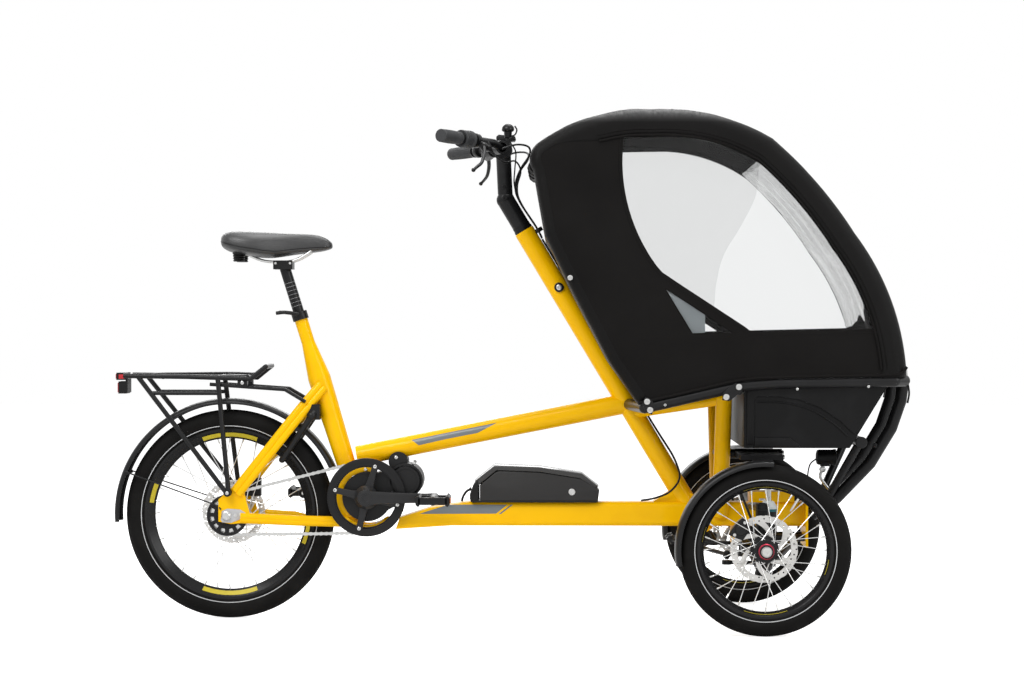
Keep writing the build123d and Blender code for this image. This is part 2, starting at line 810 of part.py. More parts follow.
def front_hoop():
    """The bumper: two bent legs from the rail's nose to the tube's end, struts and cross tubes."""
    leg_y = 85
    leg = jointed_bar([
        point(958, leg_y, 584), point(953, leg_y, 545), point(930, leg_y, 478), point(878, leg_y, 392),
        point(800, 62, 306), point(742, 42, 262),
    ], 15)
    strut = rod(point(846, 120, 440), point(770, 62, 290), 10)
    cross = rod(point(846, -175, 448), point(846, 175, 448), 13)
    low_cross = rod(point(800, -62, 306), point(800, 62, 306), 8)
    whole = joined([both_sides(leg), both_sides(strut), cross, low_cross])
    plate_room = block(700, lower_front_x + 6, -80, 80, 170, 300)
    nose = rod(point(955, -130, 598), point(955, 130, 598), rail_r)
    return whole - plate_room - nose


def bench():
    """The children's bench: a seat pad and a leaning back pad."""
    seat = slab(side_face([(352, 565.3), (352, 630), (585, 656), (590, 600), (563, 594.4)]), -200, 200)
    back = slab(side_face([(268.9, 642.1), (329.3, 656.6), (164.3, 944.6), (97.1, 929.6)]), -195, 195)
    return Compound(children=[seat, back])


# Tilting front suspension

def tilt_rocker():
    """The rocking beam over the lower tube, its pivot, and the bar that holds it to the posts."""
    z = 411
    beam = block(556, 660, -165, 165, z - 6, z + 6)
    pivot = rod(point(post_x, 0, z), point(672, 0, z), 12)
    holder = rod(point(post_x, -82, z), point(post_x, 82, z), 12)
    posts = both_sides(rod(point(post_x, 24, 262), point(post_x, post_y, 556), 20))
    return joined([beam, pivot, holder]) - posts


def tilt_struts():
    """The two struts from the rocking beam's ends down to the lower arms."""
    x = 625
    y = 150
    foot_z = 176
    shaft = rod(point(x, y, 405), point(x, y, foot_z), 6.5)
    profile = make_face(Polyline(
        (0, 0), (9, 0), (12, 14), (12, 49), (20, 52), (21.5, 96), (21.5, 104), (21, 110), (20, 116),
        (13, 128), (0, 128), close=True,
    ))
    cup = Pos(x, y, foot_z) * revolve(Plane.XZ * profile, axis=Axis.Z)
    socket = make_face(Polyline(
        (0, 170), (10, 170), (13, 180), (13, 214), (9, 220), (9, 229), (0, 229), close=True,
    ))
    head = Pos(x, y, foot_z) * revolve(Plane.XZ * socket, axis=Axis.Z)
    return both_sides(joined([shaft, cup, head]))


def arms():
    """The lower and upper arms from the frame's plates to the kingpin's two eyes."""
    x = front_axle_x
    low_z = kingpin_bottom_z - 7.3
    top_z = kingpin_top_z + 7.3
    low_eye = rod(point(x, kingpin_y, low_z - 7), point(x, kingpin_y, low_z + 7), 18)
    top_eye = rod(point(x, kingpin_y, top_z - 7), point(x, kingpin_y, top_z + 7), 16)
    side = joined([
        rod(point(554.2, 34, 205), point(724.8, 34, 205), 9),
        rod(point(575, 34, 205), point(x, kingpin_y, low_z), 9),
        rod(point(704, 34, 205), point(x, kingpin_y, low_z), 9),
        block(585, 655, 140, 162, 160, 176),
        low_eye,
    ])
    upper = joined([rod(point(590, 30, 283), point(x, kingpin_y, top_z), 9), top_eye])
    half = lower_side / 2
    tube = block(500, 720, -half, half, lower_bottom_z, lower_top_z)
    both = both_sides(side + (upper - tube))
    pins = both_sides(rod(point(x, kingpin_y, 100), point(x, kingpin_y, 330), pin_r + running_gap))
    uprights = both_sides(rod(
        point(x, kingpin_y, kingpin_bottom_z - part_gap), point(x, kingpin_y, kingpin_top_z + part_gap), 30))
    return both - pins - uprights


def knuckle():
    """The steered knuckle: kingpin, stub axle, steering arm and brake caliper."""
    x = front_axle_x
    z = front_wheel_r
    upright = rod(point(x, kingpin_y, kingpin_bottom_z), point(x, kingpin_y, kingpin_top_z), 16)
    pin = rod(point(x, kingpin_y, kingpin_bottom_z - 16), point(x, kingpin_y, kingpin_top_z + 16), pin_r)
    boss = disc(x, z, 26, kingpin_y - 4, 289)
    axle = disc(x, z, 10, 280, 366)
    cap = disc(x, z, 16, 360.5, 368)
    arm = rod(point(x, kingpin_y, arm_z), point(arm_end_x, arm_end_y, arm_z), 5)
    arm_end = rod(point(arm_end_x, arm_end_y, arm_z - 5), point(arm_end_x, arm_end_y, arm_z + 5), 12)
    rotor_y = front_track / 2 - 28
    caliper = slab(arc_band(x, z, 90, 54, 122, 158), rotor_y - 13, rotor_y + 9)
    caliper = caliper - disc(x, z, front_rotor_r + 3, rotor_y - 2.5, rotor_y + 2.5)
    held = polar(x, z, 72, 140)
    bracket = rod(point(x, 272, z), point(held[0], 282, held[1]), 8)
    bracket = bracket + disc(held[0], held[1], 12, 274, rotor_y - 13)
    return joined([upright, pin, boss, axle, cap, arm, arm_end, caliper, bracket])


def front_mudguard():
    """A front mudguard that turns with its wheel, with two stays from the knuckle."""
    x = front_axle_x
    z = front_wheel_r
    y = front_track / 2
    band = slab(arc_band(x, z, 213, 210, 85, 190), y - 28, y + 28)
    lip = slab(arc_band(x, z, 212, 202, 85, 190), y - 30, y - 28) + slab(
        arc_band(x, z, 212, 202, 85, 190), y + 28, y + 30)
    stays = []
    for degrees in (112, 172):
        tip = polar(x, z, 207, degrees)
        foot = polar(x, z, 24, degrees)
        stays.append(rod(point(foot[0], 268, foot[1]), point(tip[0], y - 29, tip[1]), 3))
    boss = disc(x, z, 26, kingpin_y - 4, 289)
    return joined([band, lip] + stays) - boss


# Steering

def steering_column():
    """The steering shaft, the kinked stem above it and the lever below it."""
    shaft = rod(on_steer_axis(195), column_top + steer_up * 0.5, shaft_r)
    knee = column_top + steer_up * 90
    bar_centre = point(bar_x, 0, bar_z)
    lower_stem = rod(column_top + steer_up * 0.5, knee, 22)
    upper_stem = rod(knee, bar_centre, 18.5)
    clamp = disc(bar_x, bar_z, 20, -26, 26)
    hub_top = on_steer_axis(steer_end_z) - steer_up * 5
    hub = rod(hub_top, hub_top - steer_up * 26, 18)
    lever = rod(hub_top - steer_up * 18, point(rod_pin_x, 0, rod_pin_z) - steer_up * 10, 6.5)
    pins = []
    for side in (1, -1):
        centre = point(rod_pin_x, side * rod_pin_y, rod_pin_z)
        pins.append(rod(centre - steer_up * 12, centre - steer_up * 4, 6.2))
        pins.append(rod(centre - steer_up * 10, centre + steer_up * 10, pin_r - 3))
    cross = rod(
        point(rod_pin_x, -rod_pin_y, rod_pin_z) - steer_up * 10,
        point(rod_pin_x, rod_pin_y, rod_pin_z) - steer_up * 10, 4)
    bar_core = rod(point(bar_x, -40, bar_z), point(bar_x, 40, bar_z), bar_r)
    top = joined([lower_stem, ball(knee, 22.5), upper_stem, clamp]) - bar_core
    bottom = joined([hub, lever, cross] + pins)
    return joined([top, shaft, bottom])


def handlebar():
    """The swept-back handlebar."""
    side = [
        point(-160, 309, 1178), point(-45, 97, 1176), point(bar_x, 50, bar_z),
    ]
    other = [point(corner.X, -corner.Y, corner.Z) for corner in reversed(side)]
    return jointed_bar(side + other, bar_r)


def along_bar(distance):
    """A point of the left half of the handlebar, measured inwards from its end."""
    start = point(-160, 309, 1178)
    finish = point(-45, 97, 1176)
    return start + (finish - start).normalized() * distance


def grips():
    """The two hand grips, the right one ending in the wider twist shifter."""
    core = rod(along_bar(-5), along_bar(200), bar_r)
    left = rod(along_bar(-3), along_bar(130), 16.5) - core
    right = rod(along_bar(-3), along_bar(82), 16.5) + rod(along_bar(86), along_bar(132), 21)
    right = other_side((right + rod(along_bar(80), along_bar(90), 15)) - core)
    return Compound(children=[left, right])


def brake_levers():
    """The brake lever bodies clamped to the bar, with their blades reaching outwards."""
    body_start = along_bar(140)
    body_end = along_bar(176)
    core = rod(along_bar(100), along_bar(200), bar_r)
    clamp = rod(along_bar(146), along_bar(166), 17)
    body = rod(body_start + point(28, 8, -16), body_end + point(22, -30, -14), 11)
    neck = rod(along_bar(156), along_bar(156) + point(26, 6, -16), 9)
    blade = jointed_bar([
        body_start + point(28, 8, -16), body_start + point(18, 50, -52), body_start + point(-14, 96, -70),
    ], 5)
    side = joined([clamp, body, neck, blade]) - core
    return both_sides(side) - handlebar()


def bar_controls():
    """The bell, the small display and the switch beside the grips."""
    bell_at = point(-8, -62, 1214)
    bell = rod(bell_at - point(0, 0, 22), bell_at, 4) + (
        Pos(bell_at) * Cylinder(13, 12) + Pos(bell_at + point(0, 0, 6)) * Sphere(13))
    foot = rod(bell_at - point(0, 0, 50), bell_at - point(0, 0, 20), 6)
    display = block(-34, 8, -20, 20, 1184, 1199)
    return joined([bell, foot]) - handlebar() + (display - disc(bar_x, bar_z, 20, -26, 26))


def tie_rod():
    """The left steering rod, from the lever's pin to above the knuckle's arm."""
    centre = point(rod_pin_x, rod_pin_y, rod_pin_z)
    eye = pipe(centre - steer_up * 3.5, centre + steer_up * 8, 10, pin_r - 3 + running_gap)
    pin_room = rod(centre - steer_up * 20, centre + steer_up * 20, pin_r - 3 + running_gap)
    end = point(arm_end_x, arm_end_y, arm_z + 18.8)
    start = centre + (end - centre).normalized() * 9
    bar = rod(start, end, 5)
    dip = 2.0
    stud = rod(point(arm_end_x, arm_end_y, arm_z + 5 + dip + part_gap * 2), end, 5)
    return joined([eye, bar, ball(end, 10), stud]) - pin_room


# Hoses

def frame_hoses():
    """The hose that follows the steering tube down and enters the lower tube."""
    front = steer_front * (tube_r + 3.2)
    route = [
        on_steer_axis(930) + front, on_steer_axis(880) + front + point(0, -2, 0),
        on_steer_axis(820) + front + point(0, 1, 0), on_steer_axis(760) + front + point(0, -2, 0),
        on_steer_axis(700) + front + point(0, 1, 0), on_steer_axis(640) + front + point(0, -2, 0),
        on_steer_axis(580) + front + point(0, 1, 0), on_steer_axis(520) + front + point(0, -3, 0),
        on_steer_axis(460) + front + point(0, -14, 0), point(404, -31, 402), point(421, -35, 352),
        point(394, -33, 316), point(352, -24, 300), point(322, -16, 295.2),
    ]
    return smooth_hose(route, 2.6)


def smooth_hose(route, radius):
    """A hose whose straight runs are joined by arcs as large as the runs allow."""
    pieces = []
    last = route[0]
    for before, corner, after in zip(route, route[1:], route[2:]):
        into = (corner - before).normalized()
        out = (after - corner).normalized()
        turn = into.get_angle(out)
        reach = min((corner - before).length, (after - corner).length) * 0.45
        first = corner - into * reach
        second = corner + out * reach
        pieces.append(Line(last, first))
        if turn > 0.2:
            pieces.append(TangentArc(first, second, tangent=into))
        else:
            pieces.append(Line(first, second))
        last = second
    pieces.append(Line(last, route[-1]))
    path = Wire(pieces)
    section = Plane(origin=path @ 0, z_dir=path % 0) * Circle(radius)
    return sweep(section, path=path)


def pieces():
    """Every node and its shape."""
    left_wheel = front_wheel()
    left_tyre = at_front_axle(tyre(front_wheel_r, front_rim_out_r, front_rim_half))
    left_rotor = at_front_axle(rotor(front_rotor_r, 24, -28))
    left_knuckle = knuckle()
    left_mudguard = front_mudguard()
    left_tie_rod = tie_rod()
    return {
        "steering_tube": steering_tube(),
        "lower_tube": lower_tube(),
        "upper_tube": upper_tube(),
        "seat_tube": seat_tube(),
        "rear_stays": rear_stays(),
        "motor_bracket": motor_bracket(),
        "front_posts": front_posts(),
        "front_bulkhead": front_bulkhead(),
        "motor": motor(),
        "battery": battery(),
        "crankset": crankset(),
        "pedal_right": pedal(1, -1),
        "pedal_left": pedal(-1, 1),
        "chain": chain(),
        "rear_tyre": at_rear_axle(tyre(rear_wheel_r, rear_rim_out_r, rear_rim_half)),
        "rear_wheel": rear_wheel(),
        "rear_rotor": at_rear_axle(rotor(rear_rotor_r, 24, 55)),
        "sprocket": sprocket(),
        "rear_axle": rear_axle(),
        "rear_caliper": rear_caliper(),
        "left_tyre": left_tyre,
        "left_wheel": left_wheel,
        "left_rotor": left_rotor,
        "left_knuckle": left_knuckle,
        "right_tyre": other_side(left_tyre),
        "right_wheel": other_side(left_wheel),
        "right_rotor": other_side(left_rotor),
        "right_knuckle": other_side(left_knuckle),
        "seat_collar": seat_collar(),
        "seat_post": seat_post(),
        "saddle": saddle(),
        "rear_mudguard": rear_mudguard(),
        "rack": rack(),
        "tail_light": tail_light(),
        "ring_lock": ring_lock(),
        "box_rail": box_rail(),
        "tub": tub(),
        "hood": hood(),
        "headlight": headlight(),
        "front_hoop": front_hoop(),
        "bench": bench(),
        "tilt_rocker": tilt_rocker(),
        "tilt_struts": tilt_struts(),
        "arms": arms(),
        "left_mudguard": left_mudguard,
        "right_mudguard": other_side(left_mudguard),
        "steering_column": steering_column(),
        "handlebar": handlebar(),
        "grips": grips(),
        "brake_levers": brake_levers(),
        "bar_controls": bar_controls(),
        "left_tie_rod": left_tie_rod,
        "right_tie_rod": other_side(left_tie_rod),
        "frame_hoses": frame_hoses(),
        "hood_windows": hood_windows(),
    }


def main():
    os.makedirs("parts", exist_ok=True)
    for name, shape in pieces().items():
        export_step(shape, f"parts/{name}.step")
        print(name, len(shape.solids()), round(shape.volume / 1000, 1), "cm3")


main()
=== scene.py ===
from math import acos, atan2, copysign, cos, degrees, exp, hypot, pi, radians, sin, sqrt, tan

import bmesh
import bpy
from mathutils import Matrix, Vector, noise


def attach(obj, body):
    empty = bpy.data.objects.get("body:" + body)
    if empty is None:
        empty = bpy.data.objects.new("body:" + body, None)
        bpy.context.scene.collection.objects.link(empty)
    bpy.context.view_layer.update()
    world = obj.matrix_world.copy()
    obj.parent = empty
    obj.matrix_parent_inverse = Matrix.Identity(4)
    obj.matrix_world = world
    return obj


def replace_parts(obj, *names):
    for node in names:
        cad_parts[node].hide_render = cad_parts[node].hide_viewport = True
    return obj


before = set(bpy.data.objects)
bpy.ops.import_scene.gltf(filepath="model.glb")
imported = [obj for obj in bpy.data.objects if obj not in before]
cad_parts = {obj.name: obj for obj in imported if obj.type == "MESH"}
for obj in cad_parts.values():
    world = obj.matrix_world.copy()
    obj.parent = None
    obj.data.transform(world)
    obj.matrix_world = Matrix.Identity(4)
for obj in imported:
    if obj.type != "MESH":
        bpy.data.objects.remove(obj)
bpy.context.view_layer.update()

# Photo booth: a plain white floor and soft boxes around the machine. The camera stands level with
# the hood on the machine's right side, a little behind its middle, and looks straight across.
scene = bpy.context.scene
scene.view_settings.view_transform = "Standard"

lens = bpy.data.cameras.new("booth_lens")
lens.sensor_width = 36.0
lens.lens = 36.0 * 2309 / 1024
lens.clip_end = 60
camera = bpy.data.objects.new("booth_camera", lens)
camera.location = (0.103, -5.75, 0.748)
view_turn = radians(1.017)
view_dip = radians(0.583)
looking = Vector((-sin(view_turn), cos(view_turn), -tan(view_dip)))
camera.rotation_euler = looking.to_track_quat("-Z", "Y").to_euler()
scene.collection.objects.link(camera)
scene.camera = camera


def soft_box(name, place, aim, width, height, watts):
    """A soft rectangular lamp that faces a point."""
    light = bpy.data.lights.new(name, "AREA")
    light.shape = "RECTANGLE"
    light.size = width
    light.size_y = height
    light.energy = watts
    box = bpy.data.objects.new(name, light)
    box.location = place
    box.rotation_euler = (Vector(aim) - Vector(place)).to_track_quat("-Z", "Y").to_euler()
    scene.collection.objects.link(box)


soft_box("key_box", (-2.2, -3.4, 4.2), (0, 0, 0.5), 3.0, 2.0, 150)
soft_box("top_box", (0.6, 0.4, 4.6), (0.1, 0, 0.5), 4.0, 2.4, 120)
soft_box("side_box", (3.6, -2.6, 2.4), (0.2, 0, 0.5), 2.0, 2.2, 50)
soft_box("back_box", (-1.0, 4.4, 2.6), (0, 0, 0.6), 3.4, 2.0, 80)


def white_for_the_lens(tree, lit_strength):
    """A light that is plain white to the lens and in mirrors and glass, and dimmer as a lamp."""
    rays = tree.nodes.new("ShaderNodeLightPath")
    seen = tree.nodes.new("ShaderNodeMath")
    seen.operation = "MAXIMUM"
    tree.links.new(rays.outputs["Is Camera Ray"], seen.inputs[0])
    tree.links.new(rays.outputs["Is Transmission Ray"], seen.inputs[1])
    both = tree.nodes.new("ShaderNodeMath")
    both.operation = "MAXIMUM"
    tree.links.new(seen.outputs[0], both.inputs[0])
    tree.links.new(rays.outputs["Is Glossy Ray"], both.inputs[1])
    level = tree.nodes.new("ShaderNodeMapRange")
    level.inputs["To Min"].default_value = lit_strength
    level.inputs["To Max"].default_value = 1.0
    tree.links.new(both.outputs[0], level.inputs["Value"])
    return level.outputs["Result"]


sky = bpy.data.worlds.new("booth_air")
scene.world = sky
sky.use_nodes = True
air = sky.node_tree.nodes["Background"]
air.inputs["Color"].default_value = (1, 1, 1, 1)
sky.node_tree.links.new(white_for_the_lens(sky.node_tree, 0.4), air.inputs["Strength"])

floor_mesh = bpy.data.meshes.new("booth_floor")
floor_reach = 14.0
floor_mesh.from_pydata([(-floor_reach, -floor_reach, 0), (floor_reach, -floor_reach, 0),
                        (floor_reach, floor_reach, 0), (-floor_reach, floor_reach, 0)], [], [(0, 1, 2, 3)])
floor = bpy.data.objects.new("booth_floor", floor_mesh)
floor.location.z = -0.0005
scene.collection.objects.link(floor)
floor_finish = bpy.data.materials.new("booth_floor_white")
floor_finish.use_nodes = True
floor_tree = floor_finish.node_tree
floor_shader = floor_tree.nodes["Principled BSDF"]
floor_shader.inputs["Base Color"].default_value = (0.86, 0.86, 0.86, 1)
floor_shader.inputs["Roughness"].default_value = 0.8
floor_shader.inputs["Specular IOR Level"].default_value = 0.0
floor_shader.inputs["Emission Color"].default_value = (1, 1, 1, 1)
floor_rays = floor_tree.nodes.new("ShaderNodeLightPath")
floor_glow = floor_tree.nodes.new("ShaderNodeMath")
floor_glow.operation = "MULTIPLY"
floor_glow.inputs[1].default_value = 0.78
floor_seen = floor_tree.nodes.new("ShaderNodeMath")
floor_seen.operation = "MAXIMUM"
floor_tree.links.new(floor_rays.outputs["Is Camera Ray"], floor_seen.inputs[0])
floor_tree.links.new(floor_rays.outputs["Is Transmission Ray"], floor_seen.inputs[1])
floor_tree.links.new(floor_seen.outputs[0], floor_glow.inputs[0])
floor_tree.links.new(floor_glow.outputs[0], floor_shader.inputs["Emission Strength"])
floor_mesh.materials.append(floor_finish)


# Frame tubes: welded aluminium, coated in one glossy orange yellow and baked. The long low main
# tube, the leaning steering tube, the upper tube, the seat tube and the rear stays are one weldment.
MM = 0.001


def surface_group(name, second_colour, amounts):
    """An empty shared surface effect: two colours and some amounts in, colour, gloss and skin out."""
    group = bpy.data.node_groups.new(name, "ShaderNodeTree")
    face = group.interface
    face.new_socket("Colour", in_out="INPUT", socket_type="NodeSocketColor")
    face.new_socket(second_colour, in_out="INPUT", socket_type="NodeSocketColor")
    for amount, value in amounts:
        socket = face.new_socket(amount, in_out="INPUT", socket_type="NodeSocketFloat")
        socket.default_value = value
    for result, kind in (("Colour", "Color"), ("Roughness", "Float"), ("Normal", "Vector")):
        face.new_socket(result, in_out="OUTPUT", socket_type="NodeSocket" + kind)
    return group


def grouped_finish(name, group, amounts, plain):
    """A material that one shared effect feeds. Plain values go straight onto the shader's own sockets."""
    material = bpy.data.materials.new(name)
    material.use_nodes = True
    tree = material.node_tree
    shader = tree.nodes["Principled BSDF"]
    effect = tree.nodes.new("ShaderNodeGroup")
    effect.node_tree = group
    for socket, value in amounts.items():
        effect.inputs[socket].default_value = value
    for result, socket in (("Colour", "Base Color"), ("Roughness", "Roughness"), ("Normal", "Normal")):
        tree.links.new(effect.outputs[result], shader.inputs[socket])
    for socket, value in plain.items():
        shader.inputs[socket.replace("_", " ")].default_value = value
    return material


def wear_group():
    """Slight unevenness of a coated or moulded surface: its colour, its gloss and its skin."""
    group = surface_group("even_wear", "Worn Colour",
                          (("Roughness", 0.4), ("Spread", 0.06), ("Cloud Size", 14.0), ("Skin Size", 700.0),
                           ("Skin Depth", 0.15)))
    nodes, links = group.nodes, group.links
    given = nodes.new("NodeGroupInput")
    result = nodes.new("NodeGroupOutput")
    place = nodes.new("ShaderNodeTexCoord")
    clouds = nodes.new("ShaderNodeTexNoise")
    clouds.inputs["Detail"].default_value = 4.0
    links.new(place.outputs["Object"], clouds.inputs["Vector"])
    links.new(given.outputs["Cloud Size"], clouds.inputs["Scale"])
    mask = nodes.new("ShaderNodeMapRange")
    mask.inputs["From Min"].default_value = 0.52
    mask.inputs["From Max"].default_value = 0.85
    links.new(clouds.outputs["Fac"], mask.inputs["Value"])
    blend = nodes.new("ShaderNodeMix")
    blend.data_type = "RGBA"
    links.new(mask.outputs["Result"], blend.inputs["Factor"])
    links.new(given.outputs["Colour"], blend.inputs["A"])
    links.new(given.outputs["Worn Colour"], blend.inputs["B"])
    links.new(blend.outputs["Result"], result.inputs["Colour"])
    offset = nodes.new("ShaderNodeMath")
    offset.operation = "SUBTRACT"
    offset.inputs[1].default_value = 0.5
    links.new(clouds.outputs["Fac"], offset.inputs[0])
    gloss = nodes.new("ShaderNodeMath")
    gloss.operation = "MULTIPLY_ADD"
    links.new(offset.outputs[0], gloss.inputs[0])
    links.new(given.outputs["Spread"], gloss.inputs[1])
    links.new(given.outputs["Roughness"], gloss.inputs[2])
    links.new(gloss.outputs[0], result.inputs["Roughness"])
    skin = nodes.new("ShaderNodeTexNoise")
    skin.inputs["Detail"].default_value = 2.0
    links.new(place.outputs["Object"], skin.inputs["Vector"])
    links.new(given.outputs["Skin Size"], skin.inputs["Scale"])
    bump = nodes.new("ShaderNodeBump")
    bump.inputs["Distance"].default_value = 0.0006
    links.new(given.outputs["Skin Depth"], bump.inputs["Strength"])
    links.new(skin.outputs["Fac"], bump.inputs["Height"])
    links.new(bump.outputs["Normal"], result.inputs["Normal"])
    return group


even_wear = wear_group()


def coated(name, colour, worn, roughness, spread=0.08, skin_size=700.0, skin_depth=0.12, **plain):
    """A coated or moulded finish."""
    return grouped_finish(name, even_wear, {
        "Colour": (*colour, 1), "Worn Colour": (*worn, 1), "Roughness": roughness, "Spread": spread,
        "Skin Size": skin_size, "Skin Depth": skin_depth}, {"Specular_IOR_Level": 0.25, **plain})


orange_coat = coated("orange_coat", (1.0, 0.55, 0.0), (0.95, 0.49, 0.0), 0.32, 0.06, 260.0, 0.03,
                     Specular_IOR_Level=0.08, Coat_Weight=0.14, Coat_Roughness=0.05)
satin_black = coated("satin_black", (0.008, 0.008, 0.0085), (0.014, 0.014, 0.0145), 0.34, 0.12)
deep_black = coated("deep_black", (0.004, 0.004, 0.0042), (0.008, 0.008, 0.008), 0.45, 0.1)
silver = coated("bright_steel", (0.62, 0.62, 0.61), (0.5, 0.5, 0.49), 0.28, 0.12, Metallic=1.0)


def finish_node(node, material):
    """Gives a CAD solid its finish."""
    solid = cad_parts[node]
    solid.data.materials.clear()
    solid.data.materials.append(material)
    solid.data.shade_smooth()
    solid.data.set_sharp_from_angle(angle=radians(32))


for node in ("steering_tube", "lower_tube", "upper_tube", "seat_tube", "rear_stays", "motor_bracket",
             "front_posts", "front_bulkhead"):
    finish_node(node, orange_coat)


def turned(profile, origin, direction, steps=48):
    """Points and faces of a piece turned about an axis, from (along, radius) pairs in millimetres."""
    axis = Vector(direction).normalized()
    across = axis.orthogonal().normalized()
    other = axis.cross(across)
    points, faces = [], []
    for along, radius in profile:
        for step in range(steps):
            turn = 2 * pi * step / steps
            points.append(Vector(origin) + axis * along + (across * cos(turn) + other * sin(turn)) * radius)
    for row in range(len(profile) - 1):
        for step in range(steps):
            a, b = row * steps + step, row * steps + (step + 1) % steps
            faces.append((a, b, b + steps, a + steps))
    if profile[0] == profile[-1]:
        return points, faces
    faces.append(tuple(reversed(range(steps))))
    faces.append(tuple(range((len(profile) - 1) * steps, len(profile) * steps)))
    return points, faces


def tube_run(path, radius, sides=14, closed=False):
    """Points and faces of a round bar or hose that follows a path. The radius may change along it."""
    path = [Vector(p) for p in path]
    count = len(path)
    radii = radius if isinstance(radius, (list, tuple)) else [radius] * count
    ahead = []
    for index in range(count):
        before = path[index - 1] if index or closed else path[0]
        after = path[(index + 1) % count] if index < count - 1 or closed else path[-1]
        ahead.append((after - before).normalized())
    side = ahead[0].orthogonal().normalized()
    points, faces = [], []
    for index, (centre, direction) in enumerate(zip(path, ahead)):
        side = (side - direction * side.dot(direction)).normalized()
        up = direction.cross(side)
        for step in range(sides):
            turn = 2 * pi * step / sides
            points.append(centre + (side * cos(turn) + up * sin(turn)) * radii[index])
    rows = count if closed else count - 1
    for row in range(rows):
        for step in range(sides):
            a, b = row * sides + step, row * sides + (step + 1) % sides
            c, d = (b + sides) % (count * sides), (a + sides) % (count * sides)
            faces.append((a, b, c, d))
    if not closed:
        faces.append(tuple(reversed(range(sides))))
        faces.append(tuple(range((count - 1) * sides, count * sides)))
    return points, faces


def smooth_path(corners, steps=8, closed=False):
    """A smooth line through corner points."""
    corners = [Vector(c) for c in corners]
    if not closed:
        corners = [corners[0] * 2 - corners[1]] + corners + [corners[-1] * 2 - corners[-2]]
        spans = range(1, len(corners) - 2)
    else:
        spans = range(len(corners))
    line = []
    for index in spans:
        a, b, c, d = (corners[(index + k) % len(corners)] for k in (-1, 0, 1, 2))
        for step in range(steps):
            t = step / steps
            line.append(0.5 * (2 * b + (c - a) * t + (2 * a - 5 * b + 4 * c - d) * t * t
                               + (3 * b - a - 3 * c + d) * t ** 3))
    if not closed:
        line.append(corners[-2])
    return line


def make_piece(name, parts, finish, body, crease=38, clean=True):
    """One mesh piece from parts in millimetres, fixed to one body of the machine."""
    points, faces = [], []
    for part_points, part_faces in parts:
        base = len(points)
        points += [Vector(p) * MM for p in part_points]
        faces += [tuple(index + base for index in face) for face in part_faces]
    mesh = bpy.data.meshes.new(name)
    mesh.from_pydata(points, [], faces)
    if clean:
        shape = bmesh.new()
        shape.from_mesh(mesh)
        bmesh.ops.remove_doubles(shape, verts=shape.verts, dist=0.000002)
        bmesh.ops.recalc_face_normals(shape, faces=shape.faces)
        shape.to_mesh(mesh)
        shape.free()
    mesh.materials.append(finish)
    mesh.shade_smooth()
    mesh.set_sharp_from_angle(angle=radians(crease))
    piece = bpy.data.objects.new(name, mesh)
    scene.collection.objects.link(piece)
    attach(piece, body)
    return piece


def flat_plate(outlines, y_low, y_high, edge=0.4):
    """Points and faces of a flat plate across Y, cut from (x, z) outlines: the outside, then any holes."""
    thick = y_high - y_low
    edge = min(edge, thick * 0.35)
    curve = bpy.data.curves.new("plate_outline", "CURVE")
    curve.dimensions = "2D"
    curve.fill_mode = "BOTH"
    curve.extrude = thick / 2 - edge
    curve.bevel_depth = edge
    curve.bevel_resolution = 1
    curve.offset = -edge
    for outline in outlines:
        spline = curve.splines.new("POLY")
        spline.points.add(len(outline) - 1)
        for point, (x, z) in zip(spline.points, outline):
            point.co = (x, z, 0, 1)
        spline.use_cyclic_u = True
    holder = bpy.data.objects.new("plate_outline", curve)
    mesh = bpy.data.meshes.new_from_object(holder)
    middle = (y_low + y_high) / 2
    points = [Vector((v.co.x, middle - v.co.z, v.co.y)) for v in mesh.vertices]
    faces = [tuple(face.vertices) for face in mesh.polygons]
    bpy.data.objects.remove(holder)
    bpy.data.curves.remove(curve)
    bpy.data.meshes.remove(mesh)
    return points, faces


def round_outline(x, z, radius, steps=32):
    return [(x + radius * cos(2 * pi * k / steps), z + radius * sin(2 * pi * k / steps))
            for k in range(steps)]


def across(part, flip=-1):
    """The same part on the machine's other side."""
    points, faces = part
    return [Vector((p[0], flip * p[1], p[2])) for p in points], [tuple(reversed(face)) for face in faces]


# Bolts: zinc-plated socket-head screws, turned and forged, with a hexagon recess. They hold the box
# rail's straps, the battery foot and the guards; the small round rivets close unused frame holes.
def socket_screw(place, direction, radius=5.0, height=4.0):
    """A round-headed screw with a recess in its head, standing on a surface."""
    flare = radius * 0.92
    profile = [(-0.5, radius), (height * 0.55, radius), (height * 0.85, flare), (height, radius * 0.72),
               (height, radius * 0.42), (height * 0.45, radius * 0.38), (height * 0.4, 0.05)]
    return turned(profile, place, direction, 18)


near = (0, -1, 0)

# Tyres: black rubber on a woven casing, moulded with a fine road tread and a pale reflecting line
# low on each side wall. Each is stretched over its rim and held there by the air.
tyre_rubber = coated("tyre_rubber", (0.008, 0.0076, 0.0073), (0.015, 0.0145, 0.014), 0.6, 0.12, 900.0, 0.35,
                      Specular_IOR_Level=0.06)
reflecting_line = coated("reflecting_line", (0.62, 0.63, 0.64), (0.5, 0.5, 0.5), 0.35, 0.05)
rear_axle_at = Vector((-702, 0, 260))
front_axle_at = Vector((601, 325, 202.5))
WHEELS = (("rear", "wheel_rear", rear_axle_at, 260.0, 213.0, 16.0),
          ("left", "wheel_left", front_axle_at, 202.5, 160.0, 14.5),
          ("right", "wheel_right", Vector((601, -325, 202.5)), 202.5, 160.0, 14.5))


